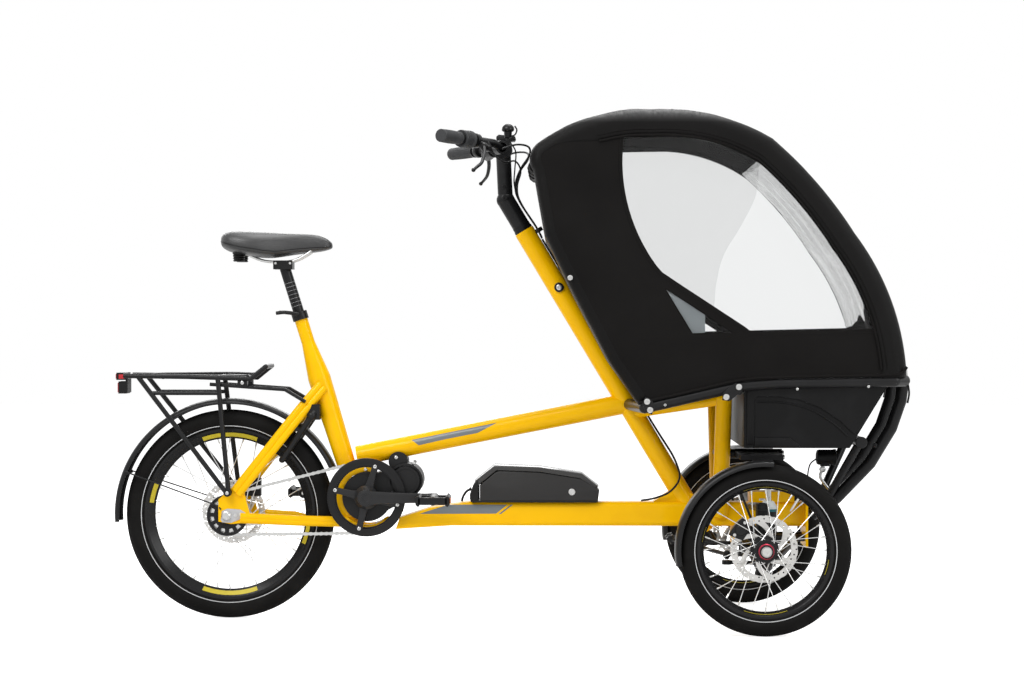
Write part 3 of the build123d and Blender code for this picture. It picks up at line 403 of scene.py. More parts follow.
def tread_depth(step, lean, ribs):
    """How deep the tread is cut at one step round the wheel and one lean off its middle, in degrees."""
    side = abs(lean)
    if 19 < side < 24:
        return 1.1
    if side < 19:
        return 0.9 if (step + side / 3.5) % ribs < 1.3 else 0.0
    if side < 54:
        return 1.0 if (step - side / 5.0) % (ribs / 2) < 1.3 else 0.0
    return 0.0


def tyre_part(outer, rim_r, rim_half, steps, ribs):
    tall = outer - rim_r
    casing_r = (rim_half ** 2 + tall ** 2) / (2 * tall)
    middle_r = outer - casing_r
    last = degrees(atan2(rim_half, rim_r - middle_r))
    leans = [-last + k * (last - 62) / 8 for k in range(8)]
    leans += [-62 + 2.5 * k for k in range(50)]
    leans += [62 + k * (last - 62) / 8 for k in range(1, 9)]
    rows = []
    for lean in leans:
        turn = radians(lean)
        ridge = 0.7 if 96 < abs(lean) < 101 or 66 < abs(lean) < 68 else 0.0
        rows.append((lean, casing_r * sin(turn), middle_r + casing_r * cos(turn), ridge))
    points, faces = [], []
    for lean, y, radius, ridge in rows:
        for step in range(steps):
            turn = 2 * pi * step / steps
            cut = tread_depth(step, lean, ribs)
            shrink = 1 - cut / casing_r
            near_y = y * shrink + copysign(ridge, y) if ridge else y * shrink
            reach = radius - cut * cos(radians(lean))
            points.append(Vector((reach * cos(turn), near_y, reach * sin(turn))))
    count = len(rows)
    for row in range(count):
        for step in range(steps):
            a, b = row * steps + step, row * steps + (step + 1) % steps
            c, d = ((row + 1) % count) * steps + (step + 1) % steps, ((row + 1) % count) * steps + step
            faces.append((a, b, c, d))
    return points, faces


def shifted(part, offset):
    points, faces = part
    return [Vector(p) + offset for p in points], faces


def side_line(outer, rim_r, rim_half, share, half_width):
    """The thin ring printed on a side wall, a hair above the rubber."""
    tall = outer - rim_r
    casing_r = (rim_half ** 2 + tall ** 2) / (2 * tall)
    middle_r = outer - casing_r
    rings = []
    for side in (1, -1):
        lean = radians(share)
        radius = middle_r + casing_r * cos(lean)
        y = side * casing_r * sin(lean)
        rings.append(turned([(y + side * 0.35, radius - half_width), (y + side * 0.55, radius),
                             (y + side * 0.35, radius + half_width), (y - side * 0.6, radius + half_width),
                             (y - side * 0.6, radius - half_width), (y + side * 0.35, radius - half_width)],
                            (0, 0, 0), (0, 1, 0), 128))
    return rings


for name, body, centre, outer, rim_r, rim_half in WHEELS:
    tread = tyre_part(outer, rim_r, rim_half, 480 if name == "rear" else 384, 12)
    tyre = make_piece(name + "_tyre_rubber", [shifted(tread, centre)], tyre_rubber, body, 50, False)
    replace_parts(tyre, name + "_tyre")
    lines = [shifted(ring, centre) for ring in side_line(outer, rim_r, rim_half, 122, 0.95)]
    make_piece(name + "_side_lines", lines, reflecting_line, body)

# Wheels: deep black rims of double-wall aluminium, laced with steel spokes that cross twice. A brass
# nipple screws each spoke into the rim, and the rims carry two plain yellow bars as their only mark.
rim_black = coated("rim_black", (0.007, 0.007, 0.0075), (0.012, 0.012, 0.012), 0.26, 0.1)
spoke_steel = coated("spoke_steel", (0.72, 0.72, 0.71), (0.6, 0.6, 0.6), 0.25, 0.1, Metallic=1.0)
rim_yellow = coated("rim_yellow", (0.62, 0.50, 0.03), (0.5, 0.4, 0.03), 0.4, 0.1)


def rim_part(inner, outer, half):
    return turned([(-half, outer + 1.5), (-half, outer - 6), (-half + 2.5, outer - 9), (-6.5, inner + 2.5),
                   (-4, inner), (4, inner), (6.5, inner + 2.5), (half - 2.5, outer - 9), (half, outer - 6),
                   (half, outer + 1.5), (half - 2.5, outer + 1.5), (half - 2.5, outer - 4),
                   (half - 6, outer - 6), (6 - half, outer - 6), (2.5 - half, outer - 4),
                   (2.5 - half, outer + 1.5), (-half, outer + 1.5)], (0, 0, 0), (0, 1, 0), 144)


def laced(count, flange_r, flange_y, rim_in, cross):
    """Crossed spokes with their nipples, from the hub's two flanges to the rim."""
    wires, nipples = [], []
    for index in range(count):
        rim_angle = 2 * pi * index / count
        swing = radians(cross if index % 4 < 2 else -cross)
        side = 1 if index % 2 == 0 else -1
        hub_angle = rim_angle + swing
        outside = 1.6 if index % 4 in (0, 3) else -1.6
        start = Vector((flange_r * cos(hub_angle), side * flange_y + outside, flange_r * sin(hub_angle)))
        end = Vector(((rim_in + 2) * cos(rim_angle), side * 2.5, (rim_in + 2) * sin(rim_angle)))
        inward = (start - end).normalized()
        wires.append(tube_run([start, end], 1.05, 8))
        head = start - inward * 0.5
        wires.append(tube_run([head, head - Vector((0, outside * 1.4, 0))], 1.8, 8))
        nipples.append(tube_run([end, end + inward * 3, end + inward * 12, end + inward * 13],
                                [2.4, 2.2, 1.9, 1.3], 8))
    return wires, nipples


def curved_bar(inner, outer, first, last, side):
    """A thin curved bar lying on a rim's sloping side."""
    steps = 24
    points, faces = [], []
    for k in range(steps + 1):
        turn = radians(first + (last - first) * k / steps)
        for radius, push in ((inner[0], inner[1]), (outer[0], outer[1])):
            for lift in (0.5, -0.6):
                points.append(Vector((radius * cos(turn), side * (push + lift), radius * sin(turn))))
    for k in range(steps):
        a = k * 4
        faces += [(a, a + 2, a + 6, a + 4), (a + 1, a + 5, a + 7, a + 3), (a, a + 4, a + 5, a + 1),
                  (a + 2, a + 3, a + 7, a + 6)]
    faces += [(0, 1, 3, 2), (steps * 4, steps * 4 + 2, steps * 4 + 3, steps * 4 + 1)]
    return points, faces


for name, body, centre, outer, rim_r, rim_half in WHEELS:
    rear = name == "rear"
    rim_in = 188.0 if rear else 144.0
    hoop = make_piece(name + "_rim", [shifted(rim_part(rim_in, rim_r, rim_half), centre)], rim_black, body,
                      30)
    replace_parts(hoop, name + "_wheel")
    wires, nipples = laced(36 if rear else 28, 44 if rear else 27, 28 if rear else 17, rim_in, 46)
    valve = turned([(-2, 3), (30, 3), (31, 2.2), (38, 2.2), (39, 0.5)],
                   ((rim_in + 4) * cos(1.0), 0, (rim_in + 4) * sin(1.0)), (-cos(1.0), 0, -sin(1.0)), 12)
    make_piece(name + "_spokes", [shifted(part, centre) for part in wires], spoke_steel, body)
    make_piece(name + "_nipples", [shifted(part, centre) for part in nipples + [valve]], silver, body)
    inner_edge = (rim_in + 4.5, 7.6)
    outer_edge = (rim_r - 10.5, rim_half - 2.7)
    bars = [curved_bar(inner_edge, outer_edge, first, last, side) for side in (1, -1)
            for first, last in ((250, 290), (158, 172), (70, 110), (338, 352))]
    make_piece(name + "_rim_bars", [shifted(part, centre) for part in bars], rim_yellow, body)

# Hubs and brake discs: the rear hub holds the gears in a silver shell, and the front hubs are black
# with a rose ring. The discs are stamped steel, drilled to shed water, and bolt to each hub.
rose_ring = coated("rose_ring", (0.55, 0.05, 0.09), (0.4, 0.04, 0.07), 0.3, 0.1, Metallic=0.8)
hub_silver = coated("hub_silver", (0.55, 0.55, 0.55), (0.42, 0.42, 0.42), 0.35, 0.15, Metallic=1.0)
disc_steel = coated("disc_steel", (0.66, 0.65, 0.63), (0.5, 0.49, 0.48), 0.3, 0.2, Metallic=1.0)

rear_shell = [(-42, 8), (-42, 27), (-38, 33), (-30.5, 37), (-30, 46.5), (-26.5, 46.5), (-26, 42), (-20, 38),
              (0, 36.5), (20, 38), (26, 42), (26.5, 46.5), (30, 46.5), (31, 36), (38, 31), (43, 24),
              (58, 22), (58, 8), (-42, 8)]
make_piece("rear_hub", [shifted(turned(rear_shell, (0, 0, 0), (0, 1, 0), 72), rear_axle_at)], hub_silver,
           "wheel_rear", 25)
front_shell = [(-33, 10.5), (-33, 21), (-30, 24), (-21, 24), (-20.5, 27), (-19, 33.5), (-15, 33.5),
               (-13, 25), (-6, 18), (10, 17.5), (17, 20), (19.5, 27), (23.5, 27), (25, 21), (30, 20),
               (34, 17), (34, 10.5), (-33, 10.5)]
for name, body, centre, side in (("left", "wheel_left", front_axle_at, 1),
                                 ("right", "wheel_right", Vector((601, -325, 202.5)), -1)):
    direction = (0, side, 0)
    make_piece(name + "_hub", [turned(front_shell, centre, direction, 64)], satin_black, body,
               25)
    make_piece(name + "_hub_ring", [turned([
        (32, 11), (32, 18.5), (35, 18.5), (36.5, 17), (36.5, 13.5), (35.5, 11), (32, 11)],
        centre, direction, 48)], rose_ring, body, 25)
    face = centre + Vector((0, side * 43, 0))
    make_piece(name + "_axle_bolt", [socket_screw(centre + Vector((0, side * 41.5, 0)), direction, 11.5, 6),
                                     turned([(36, 10.3), (41.8, 10.3), (41.9, 12.5), (43, 12.5), (43.1, 6)],
                                            centre, direction, 36)],
               silver, "knuckle_" + name, 30)


def disc_outlines(radius, hub_r):
    """A brake disc's outline, the six windows between its swept arms, and its drilled holes."""
    outlines = [[((radius - 1.1 * (k % 6 in (0, 1))) * cos(radians(2.5 * k)),
                  (radius - 1.1 * (k % 6 in (0, 1))) * sin(radians(2.5 * k))) for k in range(144)]]
    outlines.append(round_outline(0, 0, hub_r, 48))
    band_in = radius - 16
    ring_r = hub_r + 9
    for arm in range(6):
        window = []
        for share in range(7):
            radius_here = ring_r + (band_in - ring_r) * share / 6
            window.append((radius_here, 60 * arm + 9 + 38 * (share / 6) ** 0.8))
        for step in range(1, 5):
            window.append((band_in, 60 * arm + 47 + 40 * step / 5))
        for share in range(6, -1, -1):
            radius_here = ring_r + (band_in - ring_r) * share / 6
            window.append((radius_here, 60 * arm + 50 + 38 * (share / 6) ** 0.8))
        window += [(ring_r, 60 * arm + 50 - 41 * step / 4) for step in range(1, 4)]
        outlines.append([(r * cos(radians(a)), r * sin(radians(a))) for r, a in window])
        outlines.append(round_outline((hub_r + 4.6) * cos(radians(60 * arm)),
                                      (hub_r + 4.6) * sin(radians(60 * arm)), 2.4, 10))
    for k in range(36):
        row = (0, 1, 2, 1)[k % 4]
        reach = radius - 3.8 - 4.2 * row
        outlines.append(round_outline(reach * cos(radians(10 * k)), reach * sin(radians(10 * k)), 1.9, 10))
    return outlines


for name, body, centre, offset in (("rear", "wheel_rear", rear_axle_at, 55),
                                   ("left", "wheel_left", front_axle_at, -28),
                                   ("right", "wheel_right", Vector((601, -325, 202.5)), 28)):
    stamped = flat_plate(disc_outlines(79.8, 24.2), offset - 0.95, offset + 0.95, 0.15)
    disc = make_piece(name + "_brake_disc", [shifted(stamped, centre)], disc_steel, body, 30)
    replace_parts(disc, name + "_rotor")
    away = 1 if offset > 0 else -1
    heads = [socket_screw(centre + Vector((28.8 * cos(radians(60 * k)), offset + away * 0.9,
                                           28.8 * sin(radians(60 * k)))), (0, away, 0), 3.4, 2.2)
             for k in range(6)]
    make_piece(name + "_disc_screws", heads, satin_black, body)

# Rear sprocket: a stamped steel ring of 24 teeth under a slotted black guard, held on the hub's
# driver by a spring clip, and the fixed axle ends with their plain steel nuts.
def toothed_outline(teeth, root_r, tip_r):
    """A toothed ring's outline."""
    outline = []
    for tooth in range(teeth):
        for share, radius in ((0.0, root_r), (0.17, root_r + 0.3), (0.36, tip_r - 0.7), (0.5, tip_r),
                              (0.64, tip_r - 0.7), (0.83, root_r + 0.3)):
            turn = 2 * pi * (tooth + share) / teeth
            outline.append((radius * cos(turn), radius * sin(turn)))
    return outline


guard_slots = [[((r * cos(radians(a))), (r * sin(radians(a))))
                for r, a in [(44, 30 * k + 4), (44, 30 * k + 13), (44, 30 * k + 22), (34, 30 * k + 20),
                             (34, 30 * k + 13), (34, 30 * k + 6)]] for k in range(12)]
sprocket_plates = [
    flat_plate([toothed_outline(24, 46.0, 51.0), round_outline(0, 0, 24, 32)], -52.9, -51.1, 0.2)]
guard_plates = [
    flat_plate([round_outline(0, 0, 51, 64), round_outline(0, 0, 24, 32)] + guard_slots, -59, -57.2, 0.3),
    turned([(44, 5.4), (44, 27), (52, 27), (59.3, 23), (60.2, 14), (60.4, 5.4), (44, 5.4)], (0, 0, 0),
           (0, -1, 0), 48)]
teeth_ring = make_piece("rear_sprocket", [shifted(part, rear_axle_at) for part in sprocket_plates], silver,
                        "wheel_rear", 25)
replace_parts(teeth_ring, "sprocket")
make_piece("sprocket_guard", [shifted(part, rear_axle_at) for part in guard_plates], satin_black,
           "wheel_rear", 25)
nut_profile = [(0, 5), (0, 11), (1.2, 11.6), (2.2, 9.6), (9.5, 9.6), (11, 7.8), (11, 5.2), (14, 5),
               (14.5, 0.1)]
axle_nuts = [turned(nut_profile, (-702, side * 74.5, 260), (0, side, 0), 6 * 4) for side in (1, -1)]
axle_bar = turned([(-75, 5), (75, 5)], rear_axle_at, (0, 1, 0), 24)
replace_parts(make_piece("rear_axle_nuts", axle_nuts + [axle_bar], silver, "frame"), "rear_axle")
finish_node("rear_caliper", satin_black)

# Dropout inserts: pale grey forged plates on each rear stay, held by two countersunk bolts, that
# take the axle's load and let the rider tighten the chain.
insert_grey = coated("insert_grey", (0.52, 0.52, 0.53), (0.42, 0.42, 0.42), 0.4, 0.1)
insert_outline = [(-716, 250), (-712, 244), (-690, 243), (-668, 252), (-656, 258), (-655, 268), (-668, 276),
                  (-700, 278), (-713, 272)]
insert_parts = []
insert_bolts = []
for side in (1, -1):
    low, high = sorted((side * 74.2, side * 76.6))
    insert_parts.append(flat_plate([insert_outline, round_outline(-702, 260, 11.9, 24)], low, high, 0.6))
    for x, z in ((-680, 262), (-667, 264)):
        insert_bolts.append(socket_screw((x, side * 76.4, z), (0, side, 0), 4.6, 1.8))
make_piece("dropout_inserts", insert_parts, insert_grey, "frame")
make_piece("dropout_bolts", insert_bolts, silver, "frame")

# Motor: a cast case that houses the gears and the bell of the winding ahead of it, both coated in
# fine black. It bolts into the orange shells, whose silver bolts show through the chainring.
motor_black = coated("motor_black", (0.012, 0.012, 0.0125), (0.02, 0.02, 0.0205), 0.46, 0.08, 500.0, 0.3)
finish_node("motor", motor_black)
crank_at = Vector((-358, 0, 305))
bell_ribs = [turned([(y, 30), (y, r), (y + 2.2, r), (y + 2.2, 30), (y, 30)], (-262, 0, 345), (0, -1, 0), 56)
             for y, r in ((37, 41), (39.8, 39), (42.3, 35))]
make_piece("motor_bell_steps", bell_ribs, motor_black, "frame", 25)
cap_outline = [(-300 + 17 * cos(radians(a)), 338 + 26 * sin(radians(a))) for a in range(-78, 79, 12)]
make_piece("motor_badge", [flat_plate([cap_outline], -37.4, -35.8, 0.4)], insert_grey, "frame")
shell_bolts = [(-362, 372), (-391, 263), (-286, 402), (-243, 388), (-398, 285)]
make_piece("motor_bolts", [socket_screw((x, -26 if k in (0, 1, 4) else -30, z), near, 4.6, 3.6)
                           for k, (x, z) in enumerate(shell_bolts)]
           + [socket_screw((x, 26 if k in (0, 1, 4) else 30, z), (0, 1, 0), 4.6, 3.6)
              for k, (x, z) in enumerate(shell_bolts)], silver, "frame")

# Crankset: forged black arms pressed on the motor's shaft, a four-armed spider, a ring of 44 teeth
# and a black guard ring outside it, clamped together by four chainring bolts.
crank_black = coated("crank_black", (0.02, 0.02, 0.021), (0.03, 0.03, 0.031), 0.34, 0.1)


def crank_outline(direction):
    """A crank arm's outline: a round boss, a tapering waist and a smaller round end."""
    outline = [(20.5 * cos(radians(a)), 20.5 * sin(radians(a))) for a in range(60, 301, 12)]
    outline += [(34, -14.6), (80, -12.6), (140, -11.6)]
    outline += [(170 + 13 * cos(radians(a)), 13 * sin(radians(a))) for a in range(-80, 81, 10)]
    outline += [(140, 11.6), (80, 13.4), (34, 15.6)]
    return [(crank_at.x + direction * x, crank_at.z + z) for x, z in outline]


crank_parts = [flat_plate([crank_outline(1), round_outline(-188, 305, 6.5, 20)], -88, -75, 2.6),
               flat_plate([crank_outline(-1), round_outline(-528, 305, 6.5, 20)], 75, 88, 2.6),
               turned([(45, 12), (45, 27), (60, 30), (66, 27), (77, 20), (77, 12), (45, 12)], crank_at,
                      near, 56), turned([(-77, 12), (77, 12)], crank_at, (0, 1, 0), 32)]
for side in (1, -1):
    crank_parts.append(turned([(87, 15.5), (88.6, 15), (89, 13.5), (88.7, 8.5), (84, 8), (84, 0.1)],
                              crank_at, (0, side, 0), 40))
for at_angle in (74, 167, 257, 347):
    turn = radians(at_angle)
    arm = [(19, 13), (34, 9.5), (62, 7.5), (80, 8.5), (84.5, 6), (84.5, -6), (80, -8.5), (62, -7.5),
           (34, -9.5), (19, -13)]
    spot = [(crank_at.x + r * cos(turn) - s * sin(turn),
             crank_at.z + r * sin(turn) + s * cos(turn)) for r, s in arm]
    crank_parts.append(flat_plate([spot], -61.5, -53.4, 1.8))
forged = make_piece("crank_arms", crank_parts, crank_black, "crank", 30)
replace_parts(forged, "crankset")
guard_ring = turned([(58.4, 78), (61.6, 78), (62.2, 80), (61.6, 93), (60.6, 96.5), (58.8, 97), (58.4, 94),
                     (58.4, 78)], crank_at, near, 112)
make_piece("chain_guard_ring", [guard_ring], satin_black, "crank", 25)
teeth = shifted(flat_plate([toothed_outline(44, 86.2, 91.2), round_outline(0, 0, 74, 72)], -52.9, -51.1,
                           0.2), crank_at)
make_piece("chainring", [teeth], satin_black, "crank", 25)
ring_bolts = []
for at_angle in (74, 167, 257, 347):
    turn = radians(at_angle)
    spot = crank_at + Vector((79 * cos(turn), -61.4, 79 * sin(turn)))
    ring_bolts.append(socket_screw(spot, near, 4.6, 1.4))
make_piece("chainring_bolts", ring_bolts, silver, "crank")

# Chain: half-inch bush roller links of bright steel, 88 of them, riveted into one loop round both
# toothed rings and kept tight by where the rear axle sits.
CHAIN_LINKS = 88
chain_y = -52.0
front_r, back_r = 88.9, 48.6
run = crank_at - rear_axle_at
reach = hypot(run.x, run.z)
tilt = atan2(run.z, run.x)
spread = acos((back_r - front_r) / reach)
straight = sqrt(reach ** 2 - (front_r - back_r) ** 2)
back_wrap = (2 * pi - 2 * spread) * back_r
front_wrap = 2 * spread * front_r
loop_length = 2 * straight + back_wrap + front_wrap


def on_chain(distance):
    """The point and the heading of the chain's line at a distance round its loop."""
    distance %= loop_length
    if distance < straight:
        turn = tilt + spread
        start = Vector((rear_axle_at.x + back_r * cos(turn), chain_y, rear_axle_at.z + back_r * sin(turn)))
        heading = Vector((sin(turn), 0, -cos(turn)))
        return start + heading * distance, heading
    distance -= straight
    if distance < front_wrap:
        turn = tilt + spread - distance / front_r
        spot = Vector((crank_at.x + front_r * cos(turn), chain_y, crank_at.z + front_r * sin(turn)))
        return spot, Vector((sin(turn), 0, -cos(turn)))
    distance -= front_wrap
    if distance < straight:
        turn = tilt - spread
        start = Vector((crank_at.x + front_r * cos(turn), chain_y, crank_at.z + front_r * sin(turn)))
        heading = Vector((sin(turn), 0, -cos(turn)))
        return start + heading * distance, heading
    distance -= straight
    turn = tilt - spread - distance / back_r
    spot = Vector((rear_axle_at.x + back_r * cos(turn), chain_y, rear_axle_at.z + back_r * sin(turn)))
    return spot, Vector((sin(turn), 0, -cos(turn)))


def link_plate(start, end, y, thick):
    """One figure-of-eight side plate between two pins."""
    heading = (end - start).normalized()
    side = Vector((-heading.z, 0, heading.x))
    length = (end - start).length
    outline = []
    for a in range(70, 291, 22):
        outline.append((4.2 * cos(radians(a)), 4.2 * sin(radians(a))))
    outline.append((length / 2, -2.9))
    for a in range(-110, 111, 22):
        outline.append((length + 4.2 * cos(radians(a)), 4.2 * sin(radians(a))))
    outline.append((length / 2, 2.9))
    count = len(outline)
    points = []
    for level in (y - thick / 2, y + thick / 2):
        points += [Vector((start.x, level, start.z)) + heading * s + side * t for s, t in outline]
    faces = [tuple(range(count)), tuple(reversed(range(count, 2 * count)))]
    faces += [(k, k + count, (k + 1) % count + count, (k + 1) % count) for k in range(count)]
    return points, faces


link_parts = []
for link in range(CHAIN_LINKS):
    first, _ = on_chain(loop_length * link / CHAIN_LINKS)
    second, _ = on_chain(loop_length * (link + 1) / CHAIN_LINKS)
    gap = 3.2 if link % 2 else 2.2
    for side in (1, -1):
        link_parts.append(link_plate(first, second, chain_y + side * gap, 0.9))
    link_parts.append(turned([(-3.9, 1.7), (-1.8, 1.7), (-1.75, 3.8), (1.75, 3.8), (1.8, 1.7), (3.9, 1.7)],
                             first, (0, 1, 0), 12))
links = make_piece("chain_links", link_parts, silver, "frame", 30)
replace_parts(links, "chain")

# Pedals: a moulded black body on a steel spindle, with rows of grip pins on both treads and an
# orange reflector let into each end. The spindle screws into the crank arm.
reflector_orange = coated("reflector_orange", (0.8, 0.16, 0.005), (0.6, 0.12, 0.005), 0.2, 0.05)
for node, body, direction, side in (("pedal_right", "pedal_near", 1, -1),
                                    ("pedal_left", "pedal_far", -1, 1)):
    x = crank_at.x + direction * 170
    z = crank_at.z
    low, high = sorted((side * 91.5, side * 183.5))
    parts = []
    for dx in (-35.5, 35.5):
        front, back = x + dx - 6, x + dx + 6
        outline = [(front, z - 8), (front + 4, z - 12.5), (back - 4, z - 12.5), (back, z - 8),
                   (back, z + 8), (back - 4, z + 12.5), (front + 4, z + 12.5), (front, z + 8)]
        parts.append(flat_plate([outline], low, high, 1.2))
    for y in (low + 5, high - 5):
        parts.append(flat_plate([[(x - 36, z - 9), (x + 36, z - 9), (x + 36, z + 9), (x - 36, z + 9)]], y
                                - 5, y + 5, 1.5))
    parts.append(turned([(0, 12), (2, 13), (84, 11), (88, 9)], (x, side * 93, z), (0, side, 0), 28))
    for dx in (-35.5, 35.5):
        for k in range(7):
            for up in (1, -1):
                parts.append(turned([(0, 1.7), (1.9, 1.5), (2.0, 0.1)],
                                    (x + dx, low + 10 + k * (high - low - 20) / 6, z + up * 12.2),
                                    (0, 0, up), 8))
    body_piece = make_piece(node + "_body", parts, satin_black, body, 35)
    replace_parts(body_piece, node)
    spindle = turned([(0, 4.9), (20, 4.9)], (x, side * 75, z), (0, side, 0), 20)
    make_piece(node + "_spindle", [spindle], silver, body)
    lenses = [flat_plate([[(x + dx - 1.2, z - 6), (x + dx + 1.2, z - 6), (x + dx + 1.2, z + 6),
                           (x + dx - 1.2, z + 6)]], low + 16, high - 16, 0.4) for dx in (-41.2, 41.2)]
    make_piece(node + "_reflectors", lenses, reflector_orange, body)

# Battery: a moulded pack clipped on the main tube, dark grey with a glossier lid and a black end cap
# where its short cable goes into the tube. A lock and a charging flap sit on its side.
battery_grey = coated("battery_grey", (0.026, 0.025, 0.0245), (0.034, 0.033, 0.0325), 0.42, 0.08)
lid_gloss = coated("lid_gloss", (0.036, 0.035, 0.034), (0.044, 0.043, 0.042), 0.2, 0.06, Coat_Weight=0.4)
case_outline = [(-78, 292), (-78, 334), (-70, 341), (-40, 366), (-30, 370), (70, 366), (168, 351),
                (180, 347), (212, 327), (218, 321), (214, 292)]
end_outline = [(-81, 292), (-100, 292), (-103, 300), (-103, 312), (-95, 334), (-88, 344), (-80, 351),
               (-81, 330)]
case = make_piece("battery_case", [flat_plate([case_outline], -41.8, 41.8, 4.5)], battery_grey, "frame",
                  30)
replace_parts(case, "battery")
make_piece("battery_lid",
           [flat_plate([[(-92, 345), (-42, 384), (70, 379.5), (175, 363.5), (217, 331), (206, 327),
                         (170, 350), (70, 366), (-36, 370), (-82, 333)]], -41, 41, 5.5)], lid_gloss,
           "frame", 30)
make_piece("battery_cap", [flat_plate([end_outline], -41.9, 41.9, 4.0)], deep_black, "frame", 30)
make_piece("battery_foot",
           [flat_plate([[(-96, 291.8), (-96, 296), (210, 296), (210, 291.8)]], -43.5, 43.5, 1.2)],
           satin_black, "frame", 30)
lock_parts = [turned([(41.5, 8.5), (43.4, 8.5), (44.2, 7.6), (44.2, 5), (42.6, 4.6), (42.6, 0.1)],
                     (150, 0, 318), near, 28)]
make_piece("battery_lock", lock_parts, silver, "frame")
cable_line = smooth_path([(-100, 6, 322), (-112, 5, 316), (-121, 3, 303), (-124, 0, 291)], 8)
make_piece("battery_cable", [tube_run(cable_line, 3.1, 12), tube_run(cable_line[:4], [5.2, 5, 4.6, 4], 12)],
           deep_black, "frame")

# Seat post and clamp: an anodised tube with raised height marks round it, a quick lever on the
# collar and a two-bolt head that grips the saddle's rails.
finish_node("seat_post", satin_black)
finish_node("seat_collar", satin_black)
seat_lean = radians(17.35)
seat_up = Vector((-sin(seat_lean), 0, cos(seat_lean)))
seat_top_at = Vector((-528, 0, 753))
marks = [turned([(d, 13.3), (d, 13.72), (d + 0.5, 13.72), (d + 0.5, 13.3), (d, 13.3)], seat_top_at, seat_up,
                40) for d in range(26, 96, 10)]
make_piece("post_marks", marks, insert_grey, "seat", 25)
lever_line = smooth_path([(-530, -27, 757), (-545, -31, 760), (-565, -31, 762), (-584, -29, 760)], 6)
make_piece("collar_lever",
           [tube_run(lever_line, [5 - 0.02 * k for k in range(len(lever_line))], 12),
            turned([(0, 6), (3, 7), (9, 7), (12, 4.5), (12.3, 0.1)], (-529, 19, 756), (0, 1, 0), 20)],
           satin_black, "frame")

# Saddle: foam under a stitched black cover on a moulded base, wide at the back and narrow at the
# nose, with two steel rails and two springs' boots under its rear.
saddle_cover = coated("saddle_cover", (0.016, 0.016, 0.0165), (0.028, 0.028, 0.028), 0.38, 0.12, 1300.0,
                      0.5, Specular_IOR_Level=0.7)
SADDLE_ROWS = (
    # along x, half width, crown height, edge height, underside height
    (-723, 20, 947, 936, 930), (-718, 52, 956, 935, 922), (-706, 70, 963, 931, 914),
    (-688, 80, 966, 926, 908),
    (-662, 84, 965.5, 921, 903), (-634, 80, 964.5, 917, 899), (-606, 68, 963, 913, 896),
    (-578, 52, 961.5, 912, 899),
    (-548, 39, 960.5, 916, 904), (-518, 31, 960, 919, 908), (-490, 27, 957, 921, 911),
    (-468, 24, 951, 922, 914), (-454, 19, 943, 923, 918), (-446, 10, 933, 925, 922))


def saddle_part():
    across_steps = 28
    points, faces = [], []
    for x, half, crown, edge, low in SADDLE_ROWS:
        for step in range(across_steps):
            turn = 2 * pi * step / across_steps
            y = cos(turn)
            rise = sin(turn)
            if rise >= 0:
                z = edge + (crown - edge) * rise ** 0.72
                dip = exp(-(y * half / 11) ** 2) * (3.4 if -690 < x < -500 else 0)
                z -= dip
                spread_y = copysign(abs(y) ** 0.62, y) * half
            else:
                z = edge + (edge - low) * rise
                spread_y = copysign(abs(y) ** 0.8, y) * (half - 1.5)
            points.append(Vector((x, spread_y, z)))
    rows = len(SADDLE_ROWS)
    for row in range(rows - 1):
        for step in range(across_steps):
            a, b = row * across_steps + step, row * across_steps + (step + 1) % across_steps
            faces.append((a, b, b + across_steps, a + across_steps))
    faces.append(tuple(reversed(range(across_steps))))
    faces.append(tuple(range((rows - 1) * across_steps, rows * across_steps)))
    return points, faces


def rounder(piece, levels=2):
    """Rounds a piece by subdividing it."""
    smooth = piece.modifiers.new("rounding", "SUBSURF")
    smooth.levels = levels
    smooth.render_levels = levels
    return piece


pad = rounder(make_piece("saddle_pad", [saddle_part()], saddle_cover, "seat", 180))
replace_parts(pad, "saddle")
rails, boots, seams = [], [], []
for side in (1, -1):
    rail_line = smooth_path([(-497, side * 20, 917), (-508, side * 22, 907), (-548, side * 20, 889),
                             (-610, side * 20, 889), (-650, side * 24, 903), (-672, side * 28, 918)], 8)
    rails.append(tube_run(rail_line, 3.5, 12))
    boots.append(turned([(0, 13), (2, 15), (5, 13), (8, 15.5), (11, 13.5), (14, 16), (17, 14), (20, 16.5),
                         (24, 15)], (-676, side * 30, 888), (0, 0, 1), 24))
    edge_line = [(x, side * (half * 0.995), edge + 1.5) for x, half, crown, edge, low in SADDLE_ROWS[1:-1]]
    seams.append(tube_run(smooth_path(edge_line, 5), 1.1, 8))
make_piece("saddle_rails", rails, silver, "seat")
make_piece("saddle_boots", boots, deep_black, "seat", 60)
make_piece("saddle_seam", seams, deep_black, "seat")
clamp_bolts = [turned([(-27, 3), (27, 3)], (x, 0, 884), (0, 1, 0), 12) for x in (-586, -550)]
make_piece("post_head_bolts", clamp_bolts, silver, "seat")

